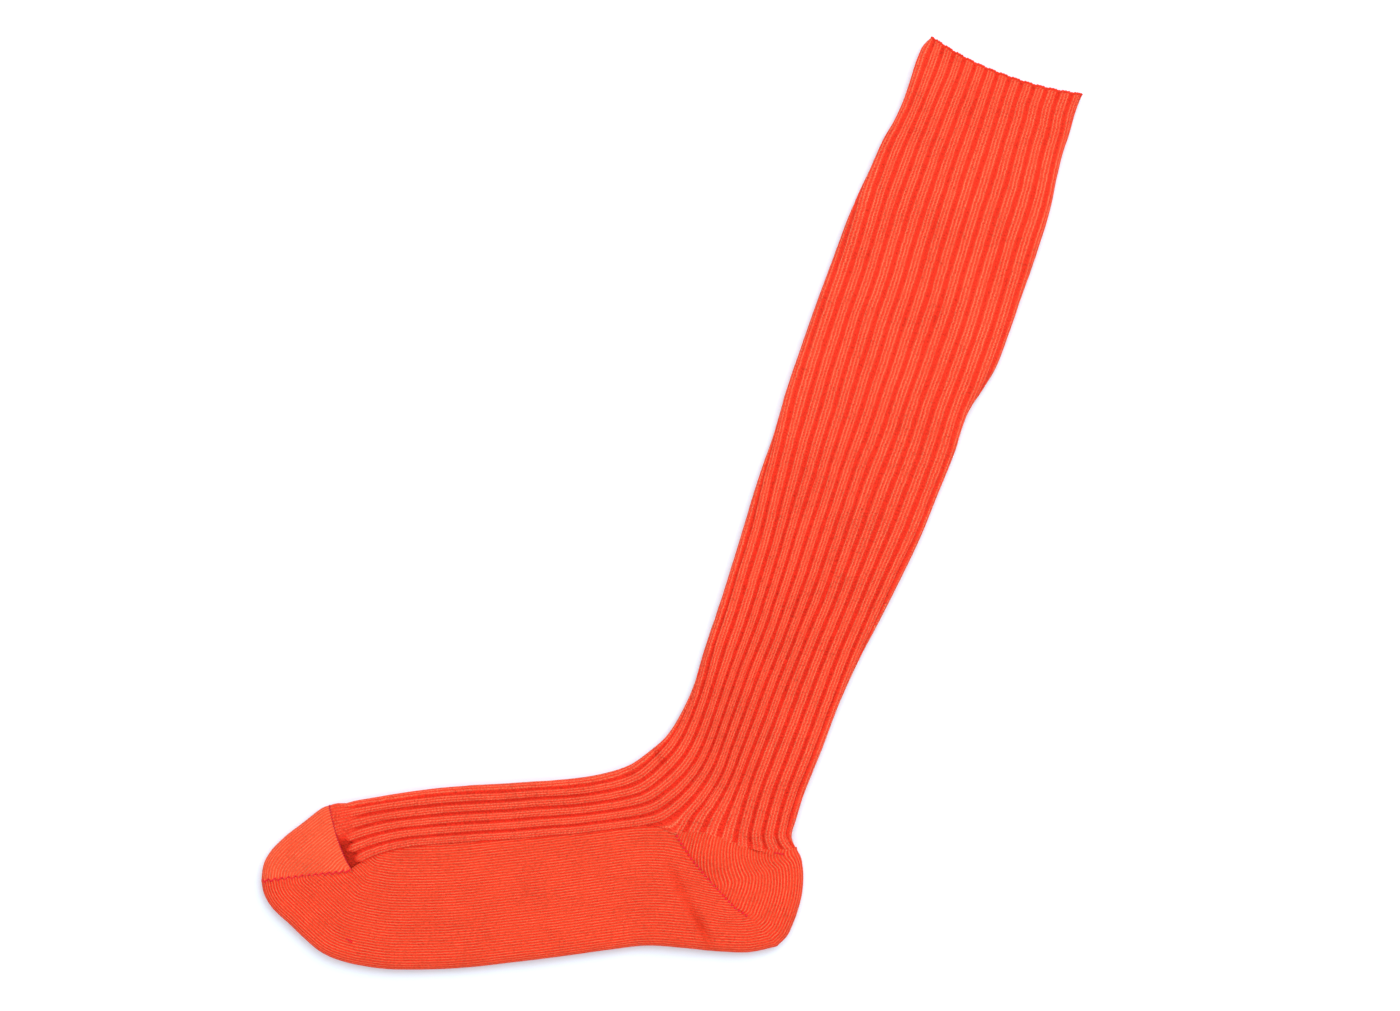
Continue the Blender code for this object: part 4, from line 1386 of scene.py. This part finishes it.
@dataclass
class PlainFoot:
    """Heel, sole and toe in plain knit, mitred at heel and toe.

    The toe has a material of its own, a lighter copy of the plain knit: painted light, as the toe's
    upper side faces the light. Swells, sinks, dips and tucks are metres, and reaches that end in rows
    are grid rows.
    """

    look: bpy.types.Material
    toe_look: bpy.types.Material
    sole_rows: int = 112
    toe_rows: int = 52
    heel_rows: int = 60
    side_columns: int = 184
    inner_step: int = 6
    outline_points: int = 1200
    fold_points: int = 3
    crest: float = 0.8
    tuck: float = 0.9 * MM
    mitre_sink: float = 0.03 * MM
    mitre_rows: float = 1.6
    sole_swell: float = 0.5 * MM
    sole_tuck_rows: float = 5.0
    border_dips: tuple[float, float] = (0.45 * MM, 0.90 * MM)
    border_dip_rows: tuple[float, float] = (2.0, 22.0)
    border_reach: float = 1.2 * MM
    heart_dip_share: float = 0.25
    seam_rows: float = 1.3
    heel_swell: float = 1.8 * MM
    heel_seam_dip: float = 0.10 * MM
    heel_top_share: float = 0.55
    heel_tuck_rows: float = 0.8
    toe_swell: float = 1.5 * MM
    toe_seam_dip: float = 0.5 * MM
    toe_slant: float = math.radians(42.0)

    def __post_init__(self) -> None:
        """Work out the three grids."""
        self.shares = np.linspace(0.0, 2.0, 2 * self.side_columns + 1)
        self._make_sole()
        self._make_heel()
        self._make_toe()

    def _grid(
        self,
        starts: np.ndarray,
        ends: np.ndarray,
        swell: np.ndarray,
        offset: np.ndarray,
        course_axis: tuple[float, float],
        pitch: float,
    ) -> Knit:
        """Hang a section on every line from start to end.

        Wales are counted along the cloth from the fold, times the share by
        which the nearest way to the outline is shorter than the way along
        the section.  So they run beside the outline and end at the border
        and the mitre line.  A cosine of one wave a wale raises them.

        Args:
            starts: Border points, shape (rows, 2).
            ends: Fold points, shape (rows, 2).
            swell: Extra height of each section.
            offset: Outward offset of each point, shape (rows, columns).
            course_axis: Direction in the foot frame that courses count.
            pitch: Width of a wale.

        Returns:
            The grid with its stitch coordinates.
        """
        outer, inner, wales = [], [], []
        rows = np.arange(len(ends))
        fine = np.linspace(0, len(ends) - 1, self.outline_points)
        outline = np.stack([np.interp(fine, rows, ends[:, axis]) for axis in (0, 1)], axis=1)
        for i in range(len(starts)):
            line = np.linspace(starts[i], ends[i], LINE_POINTS)
            section = Section(line, swell=float(swell[i]))
            runs = section.runs(self.shares)
            along = section.along[:-self.fold_points]
            nearest = np.linalg.norm(line[:len(along), None] - outline[None], axis=2).min(axis=1)
            shorter = nearest / (section.length - along)
            shorter = np.interp(np.interp(runs, section.run, section.dist), along, shorter)
            wales.append((section.run[section.fold] - runs) * shorter / pitch)
            ridge = SIZES.plain_ripple * np.cos(2.0 * math.pi * wales[-1])
            outer.append(section.points(runs, offset[i] + ridge))
            inner.append(section.points(runs, offset[i] - SIZES.wall))
        bent = [np.array(outer), np.array(inner)]
        for bow in (TOE_SEAM_BOW, HEEL_MITRE_BOW):
            bent = [bow.bend(grid) for grid in bent]
        grid, lining = (settle(one) for one in bent)
        spots = foot_shares(grid[..., :2])
        courses = (spots[..., 0] * course_axis[0] + spots[..., 1] * course_axis[1]) / SIZES.plain_course
        crest = np.full(courses.shape, self.crest)
        return Knit(grid, lining, np.array(wales), courses, crest, inner_step=self.inner_step)

    def _make_sole(self) -> None:
        """Sole from the heel mitre to the toe mitre.

        It starts a little beyond its border, sunk under the instep's edge,
        and rises over the first two millimetres.
        """
        _, _, border, bottom, _ = FootTracks().rows(self.sole_rows)
        under = edge_track(TOE_UNDER_EDGE, self.toe_rows)[1:]
        starts = np.concatenate([border, np.repeat(border[-1:], len(under), axis=0)])
        ends = np.concatenate([bottom, under])
        chord = ends - starts
        lengths = np.linalg.norm(chord, axis=1)[:, None]
        rows = len(starts)
        hidden = np.concatenate([np.ones(self.sole_rows), np.zeros(len(under))])[:, None]
        hidden = np.minimum(hidden, ease(0.0, self.sole_tuck_rows, np.arange(rows))[:, None])
        starts = starts - hidden * self.tuck * chord / lengths
        away = np.minimum(self.shares, 2.0 - self.shares)[None, :] * lengths
        row = np.arange(rows)[:, None]
        deep = self.border_dips[0] + self.border_dips[1] * ease(*self.border_dip_rows, row)
        shown = self.heart_dip_share + (1.0 - self.heart_dip_share) * hidden
        dip = deep * bell(away, self.border_reach) * shown
        mitre = bell(row, self.mitre_rows) + bell(rows - 1 - row, self.mitre_rows)
        offset = -dip - self.mitre_sink * mitre
        swell = self.sole_swell * np.ones(rows)
        self.sole = self._grid(starts, ends, swell, offset, (1.0, 0.0), SIZES.sole_wale)

    def _fan(
        self,
        heart: np.ndarray,
        edge: np.ndarray,
        swell: float,
        seam: float,
        axis: tuple[float, float],
        pitch: float,
    ) -> Knit:
        """A pocket whose sections all start at one point.

        Args:
            heart: The point that they start from.
            edge: Fold points from the seam round to the mitre line.
            swell: Greatest extra height, in the middle of the fan.
            seam: How deep the cloth dips at the seam.
            axis: Direction in the foot frame that courses count.
            pitch: Width of a wale.
        """
        count = len(edge)
        starts = np.repeat(heart[None, :], count, axis=0)
        row = np.arange(count)[:, None]
        sink = seam * bell(row, self.seam_rows)
        sink = sink + self.mitre_sink * bell(count - 1 - row, self.mitre_rows)
        offset = -sink * np.ones(len(self.shares))
        rise = swell * np.sin(math.pi * row[:, 0] / (count - 1))
        return self._grid(starts, edge, rise, offset, axis, pitch)

    def _make_heel(self) -> None:
        """Heel pocket from the heel-top line to its mitre line."""
        _, _, border, _, _ = FootTracks().rows(3)
        edge = edge_track(HEEL_EDGE, self.heel_rows)
        form = self.heel_swell, self.heel_seam_dip, (0.0, -1.0), SIZES.heel_wale
        self.heel = self._fan(border[0], edge, *form)
        self._bend_heel_top(border[0], edge[0])

    def _bend_heel_top(self, heart: np.ndarray, back: np.ndarray) -> None:
        """Bend the heel's first rows onto the S shape of the heel-top line.

        The very first row also moves up under the leg's last one.
        """
        chord = float(np.linalg.norm(back - heart))
        rows = self.heel.outer.shape[0]
        fade = 1.0 - ease(0.0, self.heel_top_share, np.linspace(0.0, 1.0, rows)[:, None])
        hidden = self.tuck * bell(np.arange(rows)[:, None], self.heel_tuck_rows)
        for grid in (self.heel.outer, self.heel.inner):
            way = np.clip(np.linalg.norm(grid[..., :2] - heart, axis=-1) / chord, 0.0, 1.0)
            grid[..., 1] += fade * chord * np.interp(way, HEEL_TOP_WAY, HEEL_TOP_BOW) + hidden

    def _make_toe(self) -> None:
        """Toe pocket from the linking seam to its mitre line."""
        _, _, border, _, _ = FootTracks().rows(3)
        edge = edge_track(TOE_EDGE, self.toe_rows)
        axis = (math.cos(self.toe_slant), -math.sin(self.toe_slant))
        form = self.toe_swell, self.toe_seam_dip, axis, SIZES.toe_wale
        self.toe = self._fan(border[-1], edge, *form)

    def dress(self) -> None:
        """Put the three meshes into the scene."""
        put(self.sole.mesh("plain_sole"), self.look, "plain_cotton", "sole")
        put(self.heel.mesh("plain_heel"), self.look, "plain_cotton", "heel")
        put(self.toe.mesh("plain_toe"), self.toe_look, "plain_cotton", "toe")


# Corner order that winds a quad the other way, rings and sides of a bead.
OTHER_WAY = [0, 3, 2, 1]
BEAD_RINGS = 4
BEAD_SIDES = 8


def placed_mesh(name: str, points: np.ndarray, faces: list[list[int]]) -> bpy.types.Mesh:
    """Smooth mesh of points that are counted from the meeting point."""
    spots = points.reshape(-1, 3).copy()
    spots[:, :2] += MEETING
    mesh = bpy.data.meshes.new(name)
    mesh.from_pydata(spots.tolist(), [], faces)
    mesh.shade_smooth()
    return mesh


def tube_mesh(name: str, path: np.ndarray, radius: float, sides: int = 6) -> bpy.types.Mesh:
    """Closed tube carried along a path.

    Ring i is the circle of the given radius in the plane that is square to
    the path at point i, and each end is closed by a flat cap.

    Args:
        name: Mesh name.
        path: Points, shape (n, 3).
        radius: Radius of every ring.
        sides: Corners of each ring.
    """
    heading = np.gradient(path, axis=0)
    heading /= np.linalg.norm(heading, axis=1, keepdims=True)
    side = np.cross(heading, np.array([0.0, 0.0, 1.0]))
    size = np.linalg.norm(side, axis=1, keepdims=True)
    side = np.where(size > 1e-6, side / np.maximum(size, 1e-6), np.array([1.0, 0.0, 0.0]))
    up = np.cross(side, heading)
    angle = 2.0 * math.pi * np.arange(sides) / sides
    ring = np.cos(angle)[None, :, None] * side[:, None] + np.sin(angle)[None, :, None] * up[:, None]
    points = path[:, None] + radius * ring
    count = len(path)
    quads = grid_quads(count, sides, closed=True)[:, OTHER_WAY]
    caps = np.arange(sides)
    first, last, tail = count * sides, count * sides + 1, (count - 1) * sides
    start = np.stack([np.full(sides, first), (caps + 1) % sides, caps], axis=1)
    end = np.stack([np.full(sides, last), tail + caps, tail + (caps + 1) % sides], axis=1)
    spots = np.concatenate([points.reshape(-1, 3), path[:1], path[-1:]])
    return placed_mesh(name, spots, quads.tolist() + start.tolist() + end.tolist())


def bead_mesh(name: str, spots: np.ndarray, radii: tuple[float, float, float]) -> bpy.types.Mesh:
    """Many small closed ovals in one mesh.

    Args:
        name: Mesh name.
        spots: Centres, shape (n, 3).
        radii: Half sizes along X, Y and Z.
    """
    polar = np.linspace(0.0, math.pi, BEAD_RINGS + 2)[1:-1]
    caps = np.arange(BEAD_SIDES)
    p, t = np.meshgrid(polar, 2.0 * math.pi * caps / BEAD_SIDES, indexing="ij")
    shell = np.stack([np.sin(p) * np.cos(t), np.sin(p) * np.sin(t), np.cos(p)], axis=-1).reshape(-1, 3)
    shell = np.concatenate([shell, [[0.0, 0.0, 1.0], [0.0, 0.0, -1.0]]]) * np.array(radii)
    quads = grid_quads(BEAD_RINGS, BEAD_SIDES, closed=True)
    nxt, top, last = (caps + 1) % BEAD_SIDES, BEAD_RINGS * BEAD_SIDES, (BEAD_RINGS - 1) * BEAD_SIDES
    high = np.stack([np.full(BEAD_SIDES, top), caps, nxt], axis=1)
    low = np.stack([np.full(BEAD_SIDES, top + 1), last + nxt, last + caps], axis=1)
    shift = len(shell) * np.arange(len(spots))[:, None, None]
    faces = (quads + shift).reshape(-1, 4).tolist()
    faces += (np.concatenate([high, low]) + shift).reshape(-1, 3).tolist()
    return placed_mesh(name, spots[:, None] + shell, faces)


# Loose thread ends: name, grid that they lie on, both ends in foot shares.
THREAD_ENDS = (
    ("thread_end_heel", "heel", (-0.181, -0.118), (-0.199, -0.126)),
    ("thread_end_toe", "sole", (0.608, -0.668), (0.597, -0.690)),
)


@dataclass
class SeamThreads:
    """The threads: heel gore dots, toe gore zigzag, linking seam, loose ends.

    All are crimson, and the linking seam's own material is a darker wine.
    Every radius, lift and lowest height is in metres.
    """

    look: bpy.types.Material
    link_look: bpy.types.Material
    foot: PlainFoot
    gore_dots: int = 25
    gore_start: float = 0.012
    gore_reach: float = 0.70
    dot_radii: tuple[float, float, float] = (0.60 * MM, 0.60 * MM, 0.38 * MM)
    dot_lift: float = 0.34 * MM
    dot_lowest: float = 0.40 * MM
    zigzag_turns: int = 13
    zigzag_span: tuple[float, float] = (0.02, 0.95)
    zigzag_swing: float = 0.75 * MM
    zigzag_radius: float = 0.34 * MM
    zigzag_lift: float = 0.20 * MM
    thread_lowest: float = 0.32 * MM
    end_points: int = 7
    end_radius: float = 0.26 * MM
    end_lift: float = 0.12 * MM
    end_swing: float = 0.10 * MM
    link_span: tuple[float, float] = (0.01, 1.99)
    link_points: int = 260
    link_waves: float = 30.0
    link_radius: float = 0.21 * MM
    link_swings: tuple[float, float, float] = (0.30 * MM, 0.10 * MM, 0.26 * MM)
    link_sink: float = 0.08 * MM

    def dress(self) -> None:
        """Put the dots, the zigzags, the linking seam and the ends in place."""
        self._gore_dots()
        for side, name in ((Side.OVER, "toe_gore_upper"), (Side.UNDER, "toe_gore_lower")):
            self._zigzag(side, name)
        self._linking_seam()
        for name, part, start, end in THREAD_ENDS:
            self._thread_end(name, getattr(self.foot, part), start, end)

    def _gore_dots(self) -> None:
        """Oval stitches along the heel's mitre line, above and below."""
        heel = self.foot.heel.outer
        way = np.linspace(self.gore_start, self.gore_reach, self.gore_dots)
        upper, lower = on_row(heel, -1, way), on_row(heel, -1, 2.0 - way)
        upper[:, 2] += self.dot_lift
        lower[:, 2] = np.maximum(lower[:, 2], self.dot_lowest)
        spots = np.concatenate([upper, lower])
        put(bead_mesh("heel_gore", spots, self.dot_radii), self.look, "seam_thread")

    def _zigzag(self, side: Side, name: str) -> None:
        """Thread that swings to and fro over the toe's mitre line."""
        steps = np.arange(2 * self.zigzag_turns + 1)
        start, span = self.zigzag_span
        shares = start + span * steps / steps[-1]
        shares = shares if side is Side.OVER else 2.0 - shares
        path = on_row(self.foot.toe.outer, -1, shares)
        path[:, 1] += np.where(steps % 2 == 0, self.zigzag_swing, -self.zigzag_swing)
        path[:, 2] += self.zigzag_lift if side is Side.OVER else 0.0
        path[:, 2] = np.maximum(path[:, 2], self.thread_lowest)
        put(tube_mesh(name, path, self.zigzag_radius), self.look, "seam_thread")

    def _thread_end(
        self, name: str, knit: Knit, start: tuple[float, float], end: tuple[float, float]
    ) -> None:
        """Short loose end of thread that lies on the upper side of the cloth.

        Args:
            name: Piece name.
            knit: The cloth that it lies on.
            start: One end in foot shares.
            end: The other end in foot shares.
        """
        low, high = foot_points([start, end])
        way = np.linspace(0.0, 1.0, self.end_points)
        spots = low + way[:, None] * (high - low)
        upper = knit.outer[:, :self.foot.side_columns].reshape(-1, 3)
        nearest = np.linalg.norm(spots[:, None] - upper[None, :, :2], axis=2).argmin(axis=1)
        height = upper[nearest, 2] + self.end_lift
        path = np.concatenate([spots, height[:, None]], axis=1)
        path[:, 1] += self.end_swing * np.sin(2.0 * math.pi * way)
        put(tube_mesh(name, path, self.end_radius), self.look, "seam_thread")

    def _linking_seam(self) -> None:
        """Two plied threads that wave along the sunken toe seam."""
        shares = np.linspace(*self.link_span, self.link_points)
        base = on_row(self.foot.toe.outer, 0, shares)
        along, across, up = self.link_swings
        for index, name in enumerate(("link_thread_a", "link_thread_b")):
            path = base.copy()
            turn = math.pi * (self.link_waves * shares + index)
            path[:, 0] += along * np.sin(turn)
            path[:, 1] += across * np.cos(turn)
            path[:, 2] += up * np.cos(turn) - self.link_sink
            path[:, 2] = np.maximum(path[:, 2], self.thread_lowest)
            nodes = ("toe_seam",) if index == 0 else ()
            put(tube_mesh(name, path, self.link_radius), self.link_look, "seam_thread", *nodes)


@dataclass
class Welt:
    """Bound-off edge round the opening: a small roll with a bump a wale."""

    look: bpy.types.Material
    tube: RibbedTube
    around: int = 20
    bump: float = 0.12
    half_share: float = 0.56
    lift: float = 0.15 * MM
    # A crest share near 0 gives the welt nearly the valley colour, with its painted shade.
    crest: float = 0.05

    def dress(self) -> None:
        """Carry an oval along the middle of the leg's first row.

        The oval is a little wider than the wall and as high as the welt,
        and both grow by about a tenth at each wale.
        """
        outer, inner = self.tube.leg.outer[0], self.tube.leg.inner[0]
        normal = outer - inner
        normal /= np.linalg.norm(normal, axis=1, keepdims=True)
        wales = self.tube.leg.wales
        bump = 1.0 + self.bump * np.cos(2.0 * math.pi * wales)[None, :]
        angle = 2.0 * math.pi * np.arange(self.around)[:, None] / self.around
        side = self.half_share * SIZES.wall * bump * np.cos(angle)
        grid = 0.5 * (outer + inner) + side[..., None] * normal
        grid[..., 1] += 0.5 * SIZES.welt_height * bump * np.sin(angle) + self.lift
        grid[..., 2] = np.maximum(grid[..., 2], 0.0)
        shape = grid.shape[:2]
        quads = grid_quads(*shape, closed=True, wrapped=True)[:, OTHER_WAY]
        mesh = placed_mesh("welt_edge", grid, quads.tolist())
        u = unwrapped(np.broadcast_to(wales, shape).ravel()[quads])
        v = np.repeat(np.arange(shape[0]) / shape[0], shape[1])[quads]
        write_stitches(mesh, u, v, np.full(len(mesh.vertices), self.crest))
        put(mesh, self.look, "ribbed_cotton", "welt")


@dataclass
class Studio:
    """Pale floor, soft light and a camera straight above.

    The key light's place is right, up and height as seen in the picture.
    """

    floor_hex: str = "E6F5FF"
    floor_half: float = 3.0
    air_colour: tuple[float, float, float, float] = (0.97, 0.985, 1.0, 1.0)
    air_strength: float = 1.08
    key_place: tuple[float, float, float] = (0.50, 0.95, 1.75)
    key_size: float = 1.7
    key_power: float = 25.0
    mm_per_pixel: float = 0.44322
    photo_size: tuple[int, int] = (1400, 1011)
    meeting_pixel: tuple[float, float] = (676.0, 834.0)
    camera_height: float = 3.2
    sensor: float = 36.0
    clip_end: float = 20.0

    def dress(self) -> None:
        """Add the floor, the lights and the camera."""
        self._floor()
        self._lights()
        self._camera()

    def _floor(self) -> None:
        """Large matt white sheet under the sock."""
        half = self.floor_half
        mesh = bpy.data.meshes.new("studio_floor")
        corners = [(-half, -half, 0.0), (half, -half, 0.0), (half, half, 0.0), (-half, half, 0.0)]
        mesh.from_pydata(corners, [], [(0, 1, 2, 3)])
        look, tree = new_look("matt_white_paper")
        surface(tree, {"Base Color": srgb(self.floor_hex), **PAPER_SURFACE})
        mesh.materials.append(look)
        floor = bpy.data.objects.new("studio_floor", mesh)
        bpy.context.scene.collection.objects.link(floor)

    def _turned(self, right: float, up: float) -> tuple[float, float]:
        """A direction seen in the picture, as a direction in the frame."""
        cos_a, sin_a = math.cos(SIZES.foot_slope), math.sin(SIZES.foot_slope)
        return right * cos_a - up * sin_a, right * sin_a + up * cos_a

    def _lights(self) -> None:
        """Bright even surroundings and one broad light from the picture's top."""
        world = bpy.data.worlds.new("studio_air")
        bpy.context.scene.world = world
        world.use_nodes = True
        air = world.node_tree.nodes["Background"]
        air.inputs["Color"].default_value = self.air_colour
        air.inputs["Strength"].default_value = self.air_strength
        right, up, height = self.key_place
        data = bpy.data.lights.new("key_light", "AREA")
        data.shape = "SQUARE"
        data.size = self.key_size
        data.energy = self.key_power
        lamp = bpy.data.objects.new("key_light", data)
        lamp.location = (*self._turned(right, up), height)
        aim = mathutils.Vector((0.0, 0.0, 0.0)) - lamp.location
        lamp.rotation_euler = aim.to_track_quat("-Z", "Y").to_euler()
        bpy.context.scene.collection.objects.link(lamp)

    def _camera(self) -> None:
        """Camera whose picture puts the meeting point on its photo pixel."""
        width, height = self.photo_size
        right = (0.5 * width - self.meeting_pixel[0]) * self.mm_per_pixel * MM
        up = (self.meeting_pixel[1] - 0.5 * height) * self.mm_per_pixel * MM
        x, y = self._turned(right, up)
        data = bpy.data.cameras.new("photo_camera")
        data.sensor_width = self.sensor
        picture_width = width * self.mm_per_pixel * MM
        data.lens = self.sensor * (self.camera_height - 0.5 * SIZES.thick) / picture_width
        data.clip_end = self.clip_end
        camera = bpy.data.objects.new("photo_camera", data)
        camera.location = (MEETING[0] + x, MEETING[1] + y, self.camera_height)
        camera.rotation_euler = (0.0, 0.0, SIZES.foot_slope)
        bpy.context.scene.collection.objects.link(camera)
        bpy.context.scene.camera = camera
        bpy.context.scene.view_settings.view_transform = "Standard"


def main() -> None:
    """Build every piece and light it."""
    logging.basicConfig(level=logging.INFO, format="%(message)s")
    ribbed = CottonFinish(
        name="two_by_two_rib_cotton",
        crest_hex="EA4A30", valley_shade_hex="E6321E", hole_shade_hex="E22C1A", line_highlight_hex="F27A58",
        hole_strength=0.95, line_strength=1.25, line_width=0.18, leg_contrast=0.6,
        bump_mm=0.34, slant=1.1, grain=0.30, waver=0.30,
    )
    plain = CottonFinish(
        name="plain_knit_cotton",
        crest_hex="E8472A", valley_shade_hex="DC3A20", hole_shade_hex="DC2010", line_highlight_hex="F27652",
        hole_strength=1.00, line_strength=1.00, line_width=0.26, leg_contrast=0.04,
        bump_mm=0.40, slant=1.1, grain=0.24, waver=0.17,
    )
    # A lighter copy of the plain knit for the toe: painted light, as the toe faces the light.
    lit_toe_knit = replace(
        plain, name="plain_knit_cotton_painted_light",
        crest_hex="F05A38", hole_shade_hex="E64024", line_highlight_hex="F67C58",
    )
    thread = ThreadFinish("crimson_polyester_thread", "EA1A30", "C6162A")
    dark_thread = replace(thread, name="wine_polyester_thread", main_hex="CC1C34", dark_hex="A8162C")
    tube = RibbedTube(ribbed.material())
    tube.dress()
    Welt(tube.look, tube).dress()
    foot = PlainFoot(plain.material(), lit_toe_knit.material())
    foot.dress()
    SeamThreads(thread.material(), dark_thread.material(), foot).dress()
    Studio().dress()


if __name__ == "__main__":
    main()
